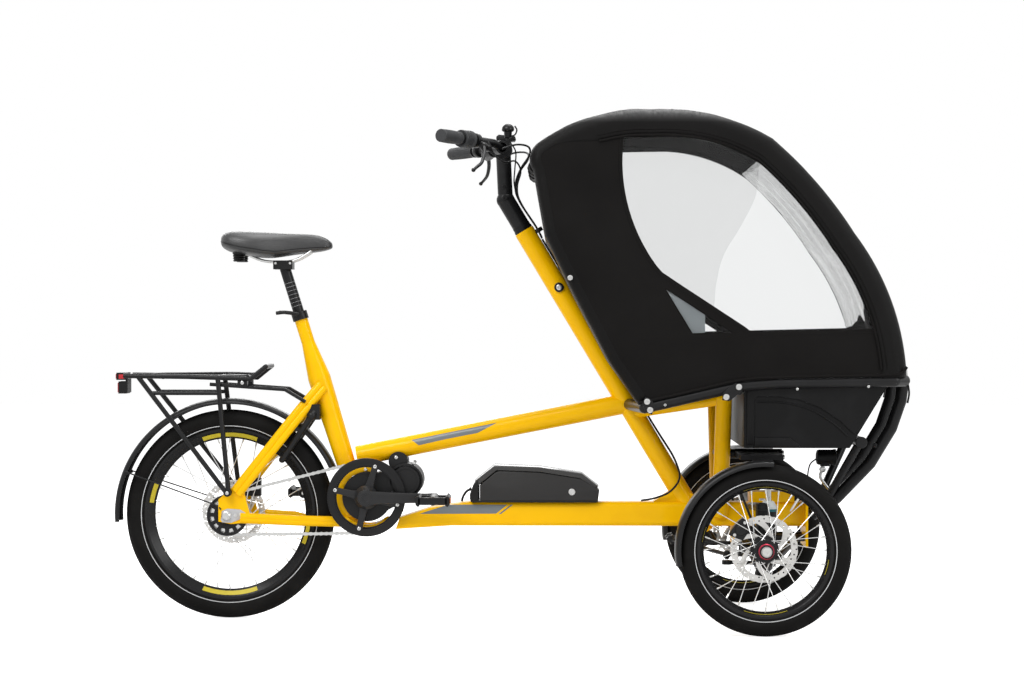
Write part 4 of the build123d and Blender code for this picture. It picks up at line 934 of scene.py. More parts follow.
# Rear mudguard: a rolled strip of black plastic with beads along both edges, carried on wire stays
# from the dropouts and clipped under the rack.
def guard_band(centre, radius, half, first, last, steps):
    """A mudguard's curved strip with rolled edges."""
    section = [(-half, -10), (-half + 0.6, -4), (-half * 0.86, 0.4), (-half * 0.5, 3.2), (0, 4.2),
               (half * 0.5, 3.2), (half * 0.86, 0.4), (half - 0.6, -4), (half, -10), (half - 2.2, -10.4),
               (half - 2.6, -4.6), (half * 0.82, -1.6), (half * 0.48, 1.0), (0, 1.9), (-half * 0.48, 1.0),
               (-half * 0.82, -1.6), (-half + 2.6, -4.6), (-half + 2.2, -10.4)]
    count = len(section)
    points, faces = [], []
    for k in range(steps + 1):
        turn = radians(first + (last - first) * k / steps)
        for y, lift in section:
            reach = radius + lift
            points.append(Vector((centre[0] + reach * cos(turn), centre[1] + y,
                                  centre[2] + reach * sin(turn))))
    for k in range(steps):
        for s in range(count):
            a, b = k * count + s, k * count + (s + 1) % count
            faces.append((a, b, b + count, a + count))
    faces.append(tuple(reversed(range(count))))
    faces.append(tuple(range(steps * count, (steps + 1) * count)))
    return points, faces


guard_black = coated("guard_black", (0.008, 0.008, 0.0085), (0.013, 0.013, 0.013), 0.32, 0.1)
rear_band = make_piece("rear_mudguard_band", [guard_band(rear_axle_at, 284.5, 31, 24, 184, 84)],
                       guard_black, "frame", 45)
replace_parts(rear_band, "rear_mudguard")
wires, clips = [], []
for side in (1, -1):
    tip = rear_axle_at + Vector((275 * cos(radians(158)), side * 31.5, 275 * sin(radians(158))))
    wires.append(tube_run([tip, tip + Vector((6, side * 3, 0)), (-722, side * 71, 284),
                           (-716, side * 77, 276)], 1.8, 10))
    clips.append(turned([(0, 5), (3, 5), (4, 3.5), (4.1, 0.1)], tip - Vector((0, side * 1, 0)),
                        (0, side, 0), 16))
make_piece("rear_guard_wires", wires, satin_black, "frame")
make_piece("rear_guard_clips", clips, deep_black, "frame")

# Luggage rack: welded aluminium tubes, coated black, bolted at the dropouts and at the seat stays,
# with a spring clamp on its deck. The tail lamp and the rose reflector screw to its rear plate.
finish_node("rack", satin_black)
finish_node("tail_light", deep_black)
lamp_red = coated("lamp_red", (0.5, 0.012, 0.02), (0.4, 0.01, 0.016), 0.12, 0.04, Coat_Weight=0.6)
lamp_parts = [flat_plate([[(-984.5, 597), (-981, 597), (-981, 609), (-984.5, 609)]], -29, 29, 1.4),
              flat_plate([[(-980.5, 563), (-977.5, 563), (-977.5, 587), (-980.5, 587)]], -24, 24, 1.0)]
make_piece("tail_lenses", lamp_parts, lamp_red, "frame")
side_lens = [flat_plate([[(-976, 597), (-962, 597), (-962, 608), (-976, 608)]], low, low + 2, 0.6)
             for low in (-33.4, 31.4)]
make_piece("tail_side_lenses", side_lens, lamp_red, "frame")
rack_bolts = [socket_screw((x, side * y, z), (0, side, 0), 4.6, 3.2) for side in (1, -1)
              for x, y, z in ((-697, 98, 318), (-664, 63, 588))]
make_piece("rack_bolts", rack_bolts, silver, "frame")
flap = []
for y in (-16, 16):
    flap.append(tube_run(smooth_path([(-640, y, 609), (-700, y, 611), (-800, y, 610), (-880, y, 609),
                                      (-896, y, 606)], 6), 2.6, 10))
flap.append(tube_run([(-896, -16, 606), (-896, 16, 606)], 2.6, 10))
flap.append(turned([(-22, 4), (22, 4)], (-640, 0, 609), (0, 1, 0), 14))
make_piece("rack_spring_clamp", flap, satin_black, "frame")
finish_node("ring_lock", satin_black)

# Passenger box: a bent black tube round the floor line carries the hood, and a pressed plastic tub
# hangs inside it as foot well and seat floor. Silver bolts clamp the rail to the orange posts.
finish_node("box_rail", satin_black)
tub_black = coated("tub_black", (0.005, 0.005, 0.0052), (0.010, 0.010, 0.0105), 0.34, 0.1, 420.0, 0.25,
                   Specular_IOR_Level=0.16)
finish_node("tub", tub_black)
pressed_skin = [(566, 445), (566, 592), (640, 600), (900, 606), (900, 590), (838, 486), (822, 470),
                (790, 500), (742, 533), (690, 553), (640, 560), (592, 560), (584, 552), (584, 445)]
sump_skin = [(584, 439), (584, 462), (668, 462), (690, 446), (694, 439)]
skins = [flat_plate([outline], low, low + 6.5, 2.4)
         for outline in (pressed_skin, sump_skin) for low in (-227.5, 221)]
make_piece("tub_pressings", skins, tub_black, "frame", 30)
tub_ribs = [tube_run(smooth_path([(592, side * 222.5, 548), (660, side * 222.5, 545),
                                  (720, side * 222.5, 528), (775, side * 222.5, 494),
                                  (806, side * 222.5, 466)], 6), 2.2, 10) for side in (1, -1)]
make_piece("tub_ribs", tub_ribs, tub_black, "frame")
strap_plates, strap_bolts = [], []
for side in (1, -1):
    for (x1, z1), (x2, z2) in (((327, 549), (334, 529)), ((545, 584), (515, 560))):
        heading = Vector((x2 - x1, 0, z2 - z1)).normalized()
        flank = Vector((-heading.z, 0, heading.x)) * 12.5
        a, b = Vector((x1, 0, z1)), Vector((x2, 0, z2))
        ear = [a + flank, a - heading * 12, a - flank, b - flank, b + heading * 12, b + flank]
        low, high = sorted((side * 249.5, side * 253.0))
        strap_plates.append(flat_plate([[(p.x, p.z) for p in ear]], low, high, 0.8))
        for x, z in ((x1, z1), (x2, z2)):
            strap_bolts.append(socket_screw((x, side * 253.0, z), (0, side, 0), 7.6, 3.6))
    for x, z in ((684, 579), (853, 585), (370, 541)):
        strap_bolts.append(socket_screw((x, side * 248.0, z), (0, side, 0), 3.4, 2.2))
    strap_plates.append(flat_plate([round_outline(118, 824, 12, 24)], *sorted((side * 25.5, side * 29)),
                                   0.8))
    strap_bolts.append(socket_screw((118, side * 29, 824), (0, side, 0), 7.4, 3.6))
    strap_bolts.append(socket_screw((144, side * 250.4, 844), (0, side, 0), 6.6, 3.0))
make_piece("rail_straps", strap_plates, satin_black, "frame", 30)
make_piece("rail_bolts", strap_bolts, silver, "frame")

# Children's bench: two foam pads in woven black covers with sewn channels, laid on the tub's seat
# floor and leant on the hood's rear panel.


def weave_group():
    """Threads over and under each other, with a lighter thread colour on their raised parts in cloudy
    patches.
    """
    group = surface_group("plain_weave", "Thread Colour", (
        ("Roughness", 0.8), ("Thread Size", 900.0), ("Depth", 0.4)))
    nodes, links = group.nodes, group.links
    given, result = nodes.new("NodeGroupInput"), nodes.new("NodeGroupOutput")
    place = nodes.new("ShaderNodeTexCoord")
    threads = []
    for direction in ("DIAGONAL", "Z"):
        band = nodes.new("ShaderNodeTexWave")
        band.wave_type = "BANDS"
        band.bands_direction = direction
        band.inputs["Distortion"].default_value = 0.4
        links.new(place.outputs["Object"], band.inputs["Vector"])
        links.new(given.outputs["Thread Size"], band.inputs["Scale"])
        threads.append(band)
    height = nodes.new("ShaderNodeMath")
    height.operation = "MAXIMUM"
    links.new(threads[0].outputs["Fac"], height.inputs[0])
    links.new(threads[1].outputs["Fac"], height.inputs[1])
    clouds = nodes.new("ShaderNodeTexNoise")
    clouds.inputs["Scale"].default_value = 9.0
    links.new(place.outputs["Object"], clouds.inputs["Vector"])
    share = nodes.new("ShaderNodeMath")
    share.operation = "MULTIPLY"
    links.new(height.outputs[0], share.inputs[0])
    links.new(clouds.outputs["Fac"], share.inputs[1])
    mix = nodes.new("ShaderNodeMix")
    mix.data_type = "RGBA"
    links.new(share.outputs[0], mix.inputs["Factor"])
    links.new(given.outputs["Colour"], mix.inputs["A"])
    links.new(given.outputs["Thread Colour"], mix.inputs["B"])
    links.new(mix.outputs["Result"], result.inputs["Colour"])
    rough = nodes.new("ShaderNodeMath")
    rough.operation = "MULTIPLY_ADD"
    rough.inputs[1].default_value = -0.1
    links.new(clouds.outputs["Fac"], rough.inputs[0])
    links.new(given.outputs["Roughness"], rough.inputs[2])
    links.new(rough.outputs[0], result.inputs["Roughness"])
    bump = nodes.new("ShaderNodeBump")
    bump.inputs["Distance"].default_value = 0.0005
    links.new(given.outputs["Depth"], bump.inputs["Strength"])
    links.new(height.outputs[0], bump.inputs["Height"])
    links.new(bump.outputs["Normal"], result.inputs["Normal"])
    return group


plain_weave = weave_group()


def woven(name, colour, thread, roughness, size=900.0, depth=0.4, **plain):
    """A woven cloth finish."""
    return grouped_finish(name, plain_weave, {
        "Colour": (*colour, 1), "Thread Colour": (*thread, 1), "Roughness": roughness,
        "Thread Size": size, "Depth": depth}, plain)


bench_cloth = woven("bench_cloth", (0.014, 0.014, 0.015), (0.035, 0.035, 0.037), 0.85, 1100.0, 0.5)


def pad_part(corner, along, outward, length, thick, half, channels):
    """A crowned pad: it lies from a corner along one direction, is thick outwards and wide across Y."""
    along, outward = Vector(along).normalized(), Vector(outward).normalized()
    rows, columns = 44, 48
    points, faces = [], []
    for top in (1, 0):
        for r in range(rows + 1):
            u = r / rows
            for c in range(columns + 1):
                v = 2 * c / columns - 1
                rim_u = min(1, 5 * min(u, 1 - u) + 0.02)
                rim_v = min(1, 6 * (1 - abs(v)) + 0.02)
                fade = sin(pi / 2 * rim_u) ** 0.5 * sin(pi / 2 * rim_v) ** 0.5
                seam = min(abs(u - s) for s in channels) * length
                groove = 5.5 * exp(-(seam / 5.0) ** 2)
                seam_y = min(abs(abs(v) * half - s) for s in (half * 0.36,))
                groove = max(groove, 4.5 * exp(-(seam_y / 5.0) ** 2))
                pull = 1 - 0.018 * sin(pi * u)
                height = thick * (0.5 + 0.5 * fade) - groove if top else thick * 0.5 * (1 - fade)
                points.append(Vector(corner) + along * (u * length) + outward * height
                              + Vector((0, v * half * pull, 0)))
    width = columns + 1
    block_size = (rows + 1) * width
    for top in (0, 1):
        for r in range(rows):
            for c in range(columns):
                a = top * block_size + r * width + c
                face = (a, a + 1, a + 1 + width, a + width)
                faces.append(face if top else tuple(reversed(face)))
    edge = [c for c in range(width)] + [r * width + columns for r in range(1, rows + 1)]
    edge += [rows * width + c for c in range(columns - 1, -1, -1)] + [r * width
                                                                      for r in range(rows - 1, 0, -1)]
    for k, a in enumerate(edge):
        b = edge[(k + 1) % len(edge)]
        faces.append((a, b, b + block_size, a + block_size))
    return points, faces


seat_pad = make_piece("bench_seat_pad",
                      [pad_part((352.5, 0, 566.3), (211, 0, 29.1), (-0.136, 0, 0.99), 213, 62, 199,
                                (0.33, 0.66))], bench_cloth, "frame", 60)
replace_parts(seat_pad, "bench")
back_pad = make_piece("bench_back_pad",
                      [pad_part((269.5, 0, 642.5), (-171.8, 0, 287.5), (0.858, 0, 0.513), 333, 60, 194,
                                (0.25, 0.5, 0.75))], bench_cloth, "frame", 60)
bench_straps = []
for y in (-70, 70):
    bench_straps.append(tube_run(smooth_path([(196, y, 905), (222, y, 850), (262, y, 790),
                                              (330, y * 0.7, 700), (372, y * 0.4, 668)], 6), [3.0] * 25, 8))
make_piece("bench_straps", bench_straps, deep_black, "frame")

# Hood: black coated polyester, one wide strip that runs from the rear foot over the top and down the
# nose, sewn to a flat panel on each side along a piped seam. It is screwed to the box rail below and
# clamped to the steering tube behind.
hood_cloth = woven("hood_cloth", (0.0045, 0.004, 0.0038), (0.009, 0.0082, 0.0078), 0.85, 1400.0, 0.25,
                   Specular_IOR_Level=0.12)
top_cloth = woven("hood_top_cloth", (0.0045, 0.0042, 0.0041), (0.0095, 0.009, 0.0088), 0.42, 1400.0, 0.3)
gather_tree = top_cloth.node_tree
gather_place = gather_tree.nodes.new("ShaderNodeTexCoord")
gather_stretch = gather_tree.nodes.new("ShaderNodeMapping")
gather_stretch.inputs["Scale"].default_value = (58.0, 9.0, 20.0)
gather_tree.links.new(gather_place.outputs["Object"], gather_stretch.inputs["Vector"])
gather_folds = gather_tree.nodes.new("ShaderNodeTexNoise")
gather_folds.inputs["Scale"].default_value = 1.0
gather_folds.inputs["Detail"].default_value = 3.0
gather_tree.links.new(gather_stretch.outputs["Vector"], gather_folds.inputs["Vector"])
gather_height = gather_tree.nodes.new("ShaderNodeSeparateXYZ")
gather_tree.links.new(gather_place.outputs["Object"], gather_height.inputs["Vector"])
roof_part = gather_tree.nodes.new("ShaderNodeMapRange")
roof_part.inputs["From Min"].default_value = 1.214
roof_part.inputs["From Max"].default_value = 1.246
gather_tree.links.new(gather_height.outputs["Z"], roof_part.inputs["Value"])
gather_bump = gather_tree.nodes.new("ShaderNodeBump")
gather_bump.inputs["Distance"].default_value = 0.012
gather_tree.links.new(roof_part.outputs["Result"], gather_bump.inputs["Strength"])
gather_tree.links.new(gather_folds.outputs["Fac"], gather_bump.inputs["Height"])
gather_shader = gather_tree.nodes["Principled BSDF"]
gather_tree.links.new(gather_shader.inputs["Normal"].links[0].from_socket, gather_bump.inputs["Normal"])
gather_tree.links.new(gather_bump.outputs["Normal"], gather_shader.inputs["Normal"])
roof_shine = gather_tree.nodes.new("ShaderNodeMapRange")
roof_shine.inputs["To Min"].default_value = 0.1
roof_shine.inputs["To Max"].default_value = 0.7
gather_tree.links.new(roof_part.outputs["Result"], roof_shine.inputs["Value"])
gather_tree.links.new(roof_shine.outputs["Result"], gather_shader.inputs["Specular IOR Level"])
HOOD_HALF = 250.0
EDGE_ROUND = 26.0
STRIP_REACH = 62.0
steer_axis_top = Vector((31, 0, 965))
steer_lean = radians(30.9)
steer_up = Vector((-sin(steer_lean), 0, cos(steer_lean)))


def arc_run(first, middle, last, steps):
    """Points of a circular arc through three (x, z) points, without its last point."""
    (ax, az), (bx, bz), (cx, cz) = first, middle, last
    d = 2 * (ax * (bz - cz) + bx * (cz - az) + cx * (az - bz))
    ux = ((ax ** 2 + az ** 2) * (bz - cz) + (bx ** 2 + bz ** 2) * (cz - az)
          + (cx ** 2 + cz ** 2) * (az - bz)) / d
    uz = ((ax ** 2 + az ** 2) * (cx - bx) + (bx ** 2 + bz ** 2) * (ax - cx)
          + (cx ** 2 + cz ** 2) * (bx - ax)) / d
    radius = hypot(ax - ux, az - uz)
    start = atan2(az - uz, ax - ux)
    half = (atan2(bz - uz, bx - ux) - start + pi) % (2 * pi) - pi
    end = (atan2(cz - uz, cx - ux) - start) % (2 * pi)
    if half < 0:
        end -= 2 * pi
    return [(ux + radius * cos(start + end * k / steps),
             uz + radius * sin(start + end * k / steps)) for k in range(steps)]


nose_line = ([(946, 607), (946.5, 618), (946, 630)] + arc_run((945, 640), (909, 794), (823, 950), 18)
             + arc_run((823, 950), (734, 1070), (627, 1176), 18)
             + arc_run((627, 1176), (490, 1232), (338, 1246), 18)
             + arc_run((338, 1246), (190, 1227), (66, 1166), 18))
rear_line = arc_run((66, 1166), (49, 1140), (56, 1100), 6)
for (x1, z1), (x2, z2) in (((56, 1100), (84, 943)), ((84, 943), (151, 805)), ((151, 805), (236, 643)),
                           ((236, 643), (306, 541))):
    count = 8
    rear_line += [(x1 + (x2 - x1) * k / count, z1 + (z2 - z1) * k / count) for k in range(count)]
strip_line = [Vector((x, 0, z)) for x, z in nose_line + rear_line + [(306, 541)]]
TOP_END = len(nose_line)


def inward_of(index):
    """The direction into the hood at a point of its side outline."""
    reach = 3
    ahead = strip_line[min(index + reach, len(strip_line) - 1)] - strip_line[max(index - reach, 0)]
    return Vector((ahead.z, 0, -ahead.x)).normalized() * -1


def strip_depth(index):
    """How far the strip reaches down the side at a point of the outline."""
    fade = min(1.0, max(0.0, (index - TOP_END + 10) / 9))
    return STRIP_REACH + (EDGE_ROUND + 1 - STRIP_REACH) * fade * fade * (3 - 2 * fade)


def hood_folds(index, y):
    """How far the loose top cloth stands up or sinks between its seams."""
    spot = strip_line[index]
    over_top = exp(-((spot.x - 330) / 250) ** 2) if spot.z > 1100 else 0.0
    edge_fade = min(1.0, (HOOD_HALF - EDGE_ROUND * 0.4 - abs(y))
                    / 90) if abs(y) < HOOD_HALF - EDGE_ROUND * 0.4 else 0
    ridges = noise.noise(Vector((spot.x * 0.022 + y * 0.012, y * 0.006, 3.1)))
    small = noise.noise(Vector((spot.x * 0.055 - y * 0.02, y * 0.014, 9.7)))
    lift = over_top * (5.0 * ridges + 4.0 * abs(small) + 2.4)
    sag = 2.0 * (noise.noise(Vector((spot.x * 0.006, y * 0.006, spot.z * 0.006))))
    return lift * (0.35 + 0.65 * max(edge_fade, 0)) + sag * max(edge_fade, 0)


across_ys = []
for k in range(5):
    across_ys.append(("side", 1 - k / 4))
for k in range(1, 7):
    across_ys.append(("round", k / 6))
for k in range(1, 28):
    across_ys.append(("top", k / 28))
strip_points, strip_faces = [], []
for index in range(len(strip_line)):
    row = []
    inward = inward_of(index)
    depth = strip_depth(index)
    flat = HOOD_HALF - EDGE_ROUND
    for kind, share in across_ys:
        if kind == "side":
            down = EDGE_ROUND + (depth - EDGE_ROUND) * share
            row.append((HOOD_HALF, down, 0))
        elif kind == "round":
            turn = pi / 2 * share
            row.append((flat + EDGE_ROUND * cos(turn), EDGE_ROUND * (1 - sin(turn)), sin(turn)))
        else:
            row.append((flat * (1 - 2 * share), 0, 1))
    for kind, share in reversed(across_ys[:11]):
        if kind == "side":
            row.append((-HOOD_HALF, EDGE_ROUND + (depth - EDGE_ROUND) * share, 0))
        else:
            turn = pi / 2 * share
            row.append((-(flat + EDGE_ROUND * cos(turn)), EDGE_ROUND * (1 - sin(turn)), sin(turn)))
    columns = len(row)
    for y, down, roof in row:
        spot = strip_line[index] + inward * (down - roof * hood_folds(index, y)) + Vector((0, y, 0))
        from_axis = spot - steer_axis_top
        off_axis = from_axis - steer_up * from_axis.dot(steer_up)
        clear = 34.5
        if off_axis.length < clear + 8 and index > TOP_END - 4 and abs(y) < 46:
            push_to = max(clear, off_axis.length)
            ahead = Vector((cos(steer_lean), 0, sin(steer_lean)))
            side_part = Vector((0, off_axis.y, 0))
            forward = sqrt(max(push_to ** 2 - off_axis.y ** 2, 0))
            spot = steer_axis_top + steer_up * from_axis.dot(steer_up) + side_part + ahead * max(
                forward, off_axis.dot(ahead))
        strip_points.append(spot)


def in_front_window(spot, margin=0.0):
    return spot.x > 560 and 700 - margin < spot.z < 1146 + margin and abs(spot.y) < 203 + margin


for index in range(len(strip_line) - 1):
    for c in range(columns - 1):
        a = index * columns + c
        face = (a, a + columns, a + columns + 1, a + 1)
        centre = sum((strip_points[k] for k in face), Vector()) / 4
        if not in_front_window(centre):
            strip_faces.append(face)


def solidify(piece, thick, offset=-1.0):
    wall = piece.modifiers.new("thickness", "SOLIDIFY")
    wall.thickness = thick * MM
    wall.offset = offset
    return piece


def loose_free(points, faces):
    """Keeps only the points that the faces use."""
    used = sorted({k for face in faces for k in face})
    number = {old: new for new, old in enumerate(used)}
    return [points[k] for k in used], [tuple(number[k] for k in face) for face in faces]


strip = make_piece("hood_strip", [loose_free(strip_points, strip_faces)], top_cloth, "frame", 60)
solidify(strip, 1.6)
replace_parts(strip, "hood")

# Side panels: flat cloth with the side window's opening and the small corner window under its
# slanted band, hemmed along every edge with two rows of thread.
side_window = (arc_run((866, 722), (803, 867), (705, 1007), 14)
               + arc_run((705, 1007), (567, 1131), (398, 1179), 16)
               + [(398, 1179), (340, 1178.4)] + arc_run((272, 1177), (286, 1000), (363, 855), 16)
               + [(363, 857), (400, 832), (560, 727), (570, 719), (590, 715.3)])
corner_window = [(372, 816), (435.5, 711.5), (528, 714)]


def grown(outline, amount):
    """An outline moved outwards by an amount."""
    count = len(outline)
    area = sum(outline[k][0] * outline[(k + 1) % count][1] - outline[(k + 1) % count][0] * outline[k][1]
               for k in range(count))
    turn = 1 if area > 0 else -1
    result = []
    for k in range(count):
        before, here, after = Vector(outline[k - 1]), Vector(outline[k]), Vector(outline[(k + 1) % count])
        first, second = (here - before).normalized(), (after - here).normalized()
        normal = Vector((first.y + second.y, -first.x - second.x)) * turn
        normal.normalize()
        bend = max(0.4, normal.dot(Vector((first.y, -first.x)) * turn))
        moved = here + normal * amount / bend
        result.append((moved.x, moved.y))
    return result


panel_edge = []
for index in range(len(strip_line)):
    edge_spot = strip_line[index] + inward_of(index) * (strip_depth(index) - 3)
    panel_edge.append((edge_spot.x, edge_spot.z))
foot_line = [(306, 541), (420, 567), (548, 596.2), (640, 603.2), (780, 606), (900, 608.2)]
panel_edge = [p for p in panel_edge if p[1] > 560 and p[1] > 606 + (p[0] - 900) * 0.02 or p[0] < 640]
panel_outline = [p for p in panel_edge if p[1] > 548] + [(330, 546.5)] + foot_line[1:]
for name, low in (("left", 247.6), ("right", -249.6)):
    make_piece("hood_panel_" + name,
               [flat_plate([panel_outline, side_window, corner_window], low, low + 2.0, 0.5)], hood_cloth,
               "frame", 30)

seam_runs, stitch_runs = [], []
for side in (1, -1):
    seam = [strip_line[k] + inward_of(k) * (strip_depth(k) + 1) + Vector((0, side * 251, 0))
            for k in range(2, TOP_END - 8)]
    seam_runs.append(tube_run(seam, 3.0, 10))
    fold = [strip_line[k] + inward_of(k) * (strip_depth(k) - 13) + Vector((0, side * 250.6, 0))
            for k in range(2, TOP_END - 8)]
    seam_runs.append(tube_run(fold, 1.2, 8))
    hem = [Vector((x, side * 250.3, z)) for x, z in grown(side_window, 8)]
    for k in range(0, len(hem)):
        start, end = hem[k], hem[(k + 1) % len(hem)]
        count = max(1, int((end - start).length / 7))
        for s in range(count):
            a = start.lerp(end, (s + 0.15) / count)
            b = start.lerp(end, (s + 0.75) / count)
            stitch_runs.append(tube_run([a, b], 0.55, 5))
make_piece("hood_piping", seam_runs, hood_cloth, "frame", 60)
make_piece("hood_stitches", stitch_runs, top_cloth, "frame", 60)
foot_binding = [tube_run(smooth_path([Vector((x, side * 249.5, z + 4)) for x, z in foot_line
                                      + [(930, 612), (944, 628)]],
                                     4), 3.6, 10) for side in (1, -1)]
make_piece("hood_binding", foot_binding, hood_cloth, "frame", 60)
rear_roll = []
roll_line = smooth_path([(60, y, 1112 + 3 * sin(y * 0.09)) for y in range(-205, 206, 41)], 6)
rear_roll.append(tube_run(roll_line, [15 + 1.8 * sin(k * 0.9) for k in range(len(roll_line))], 18))
for y in (-140, 0, 140):
    rear_roll.append(tube_run([(60 + 17.5 * cos(a / 10 * 2 * pi), y, 1112 + 17.5 * sin(a / 10 * 2 * pi))
                               for a in range(10)], 2.4, 8, True))
make_piece("hood_rear_roll", rear_roll, top_cloth, "frame", 60)
# Windows: clear vinyl sheet sewn behind the openings. The nose's sheet is wide, slightly slack and
# sewn along the piped seams, well behind the rim. A second, darker film behind the rear of the
# right side window is painted shade that darkens the view there, and the small corner window has a
# grey mesh lining.
clear_vinyl = bpy.data.materials.new("clear_vinyl")
clear_vinyl.use_nodes = True
vinyl_tree = clear_vinyl.node_tree
vinyl = vinyl_tree.nodes["Principled BSDF"]
vinyl.inputs["Base Color"].default_value = (0.93, 0.935, 0.935, 1)
vinyl.inputs["Roughness"].default_value = 0.04
vinyl.inputs["IOR"].default_value = 1.2
vinyl.inputs["Transmission Weight"].default_value = 1.0
vinyl_place = vinyl_tree.nodes.new("ShaderNodeTexCoord")
vinyl_wave = vinyl_tree.nodes.new("ShaderNodeTexNoise")
vinyl_wave.inputs["Scale"].default_value = 7.0
vinyl_wave.inputs["Detail"].default_value = 1.0
vinyl_tree.links.new(vinyl_place.outputs["Object"], vinyl_wave.inputs["Vector"])
vinyl_bump = vinyl_tree.nodes.new("ShaderNodeBump")
vinyl_bump.inputs["Strength"].default_value = 0.2
vinyl_bump.inputs["Distance"].default_value = 0.004
vinyl_tree.links.new(vinyl_wave.outputs["Fac"], vinyl_bump.inputs["Height"])
vinyl_tree.links.new(vinyl_bump.outputs["Normal"], vinyl.inputs["Normal"])

FILM_FOOT, FILM_TOP, FILM_REAR = 640, 1179, 612
FILM_HALF = 244.5
film_rows = [k for k in range(TOP_END) if FILM_FOOT < strip_line[k].z < FILM_TOP
             and strip_line[k].x > FILM_REAR]
film_stations = 45
waved, film_quads = [], []
for row, k in enumerate(film_rows):
    for c in range(film_stations):
        y = -FILM_HALF + 2 * FILM_HALF * c / (film_stations - 1)
        slack = sin(pi * c / (film_stations - 1)) ** 0.5
        wave = 8.0 * noise.noise(Vector((strip_line[k].x * 0.004, y * 0.011,
                                         strip_line[k].z * 0.004 + 2.0)))
        waved.append(strip_line[k] + inward_of(k) * (STRIP_REACH + 3.0 + slack * (2.5 + wave))
                     + Vector((0, y, 0)))
        if row and c:
            a = row * film_stations + c
            film_quads.append((a, a - 1, a - 1 - film_stations, a - film_stations))
nose_film = make_piece("nose_film", [(waved, film_quads)], clear_vinyl, "frame", 60)
film_length = sum((strip_line[b] - strip_line[a]).length for a, b in zip(film_rows, film_rows[1:]))
solidify(nose_film, 0.8)
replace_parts(nose_film, "hood_windows")
for name, low in (("left", 246.4), ("right", -247.2)):
    make_piece("side_film_" + name, [flat_plate([grown(side_window, 7)], low, low + 0.8, 0.1)], clear_vinyl,
               "frame", 4)
    make_piece("corner_film_" + name, [flat_plate([grown(corner_window, 3)], low, low + 0.8, 0.1)],
               clear_vinyl, "frame", 4)
# Painted shade: a darker copy of the clear film, laid behind the rear of the right side window so the view
# through it there reads as shade.
painted_shade_vinyl = clear_vinyl.copy()
painted_shade_vinyl.name = "painted_shade_vinyl"
painted_shade_vinyl.node_tree.nodes["Principled BSDF"].inputs["Base Color"].default_value = (0.86, 0.86, 0.86, 1)
painted_shade_edge = smooth_path([(590, 0, 1120), (589, 0, 1078), (580, 0, 1030), (545, 0, 962), (508, 0, 900),
                         (491, 0, 838), (483, 0, 764)], 4)
flap = [(p.x, p.z) for p in painted_shade_edge] + [(363, 855)]
flap += list(reversed(arc_run((272, 1177), (286, 1000), (363, 855), 14)))
flap += arc_run((398, 1179), (500, 1158), (588, 1121), 6)
make_piece("painted_shade_film_right", [flat_plate([grown(flap, 2)], -245.6, -245.0, 0.1)], painted_shade_vinyl, "frame",
           4)
mesh_grey = woven("corner_mesh", (0.14, 0.16, 0.17), (0.3, 0.32, 0.33), 0.8, 1500.0, 0.6)
mesh_parts = [flat_plate([[(372, 817), (434, 712), (465, 712.6), (465, 762)]], low, low + 0.6, 0.1)
              for low in (245.4, -246.0)]
make_piece("corner_mesh_lining", mesh_parts, mesh_grey, "frame", 30)

# Zip ends: a silver slider with a black pull strap at each foot of the nose, where the roll-up nose
# sheet closes.
zip_parts, pull_parts = [], []
for side in (1, -1):
    spot = Vector((949, side * 196, 628))
    zip_parts.append(tube_run([spot, spot + Vector((2, 0, -16)), spot + Vector((4, 0, -26))],
                              [3.6, 3.2, 2.2], 10))
    zip_parts.append(tube_run([spot + Vector((5 + 4 * cos(a / 12 * 2 * pi), 0,
                                              -31 + 6 * sin(a / 12 * 2 * pi)))
                               for a in range(12)], 1.2, 8, True))
    pull_parts.append(tube_run(smooth_path([spot + Vector((5, 0, -36)), spot + Vector((8, side * 2, -60)),
                                            spot + Vector((4, side * 3, -84))], 6), 2.4, 8))
make_piece("zip_sliders", zip_parts, silver, "frame")
make_piece("zip_straps", pull_parts, deep_black, "frame")

# Cut sizes of the hood's cloths and films, each flat before it was sewn and stretched over the box.
strip_length = sum((b - a).length for a, b in zip(strip_line, strip_line[1:]))
strip_width = 2 * (STRIP_REACH - EDGE_ROUND) + pi * EDGE_ROUND + 2 * (HOOD_HALF - EDGE_ROUND)


def sewn(name, width=None, length=None):
    """Works out a stretched sheet's width and length from its own mesh where they are not given; nothing is
    done with them.
    """
    piece = bpy.data.objects[name]
    corners = [Vector(corner) for corner in piece.bound_box]
    width = (width or (corners[6].x - corners[0].x) / MM) * MM
    length = (length or (corners[6].z - corners[0].z) / MM) * MM


sewn("hood_strip", strip_width, strip_length)
sewn("nose_film", 491.0, film_length)
for side_name in ("left", "right"):
    sewn("hood_panel_" + side_name)
    for film_name in ("side_film_", "corner_film_"):
        sewn(film_name + side_name)
sewn("painted_shade_film_right")

# Bumper and head lamp: bent black tubes from the rail's nose to the main tube's end, with round caps
# on the cross tube. The lamp stands on a silver bracket with one bolt.
finish_node("front_hoop", satin_black)
cap_rounds = [turned([(-2, 14.2), (0.5, 14.2), (2, 13), (2.4, 0.1)], (846, side * 175, 448), (0, side, 0),
                     32) for side in (1, -1)]
cap_rounds += [turned([(0, 6), (9, 6), (10, 5), (10.2, 0.1)], (884, side * 99, 438), (1, side * 0.4, -0.3),
                      20) for side in (1, -1)]
make_piece("bumper_caps", cap_rounds, motor_black, "frame", 30)
lamp_shell = [(757, 0), (757.2, 12), (759, 17), (764, 19), (797, 19), (801, 20.2), (805.5, 20.2), (806, 19),
              (804, 17.5), (803.5, 0.1)]
lamp_turn = turned([(x - 757, max(r, 0.1)) for x, r in lamp_shell], (757, 0, 402), (1, 0, 0), 48)
make_piece("head_lamp_shell",
           [lamp_turn, flat_plate([[(768, 380), (790, 380), (790, 392), (768, 392)]], -13, 13, 2.0)],
           deep_black, "frame", 30)
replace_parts(bpy.data.objects["head_lamp_shell"], "headlight")
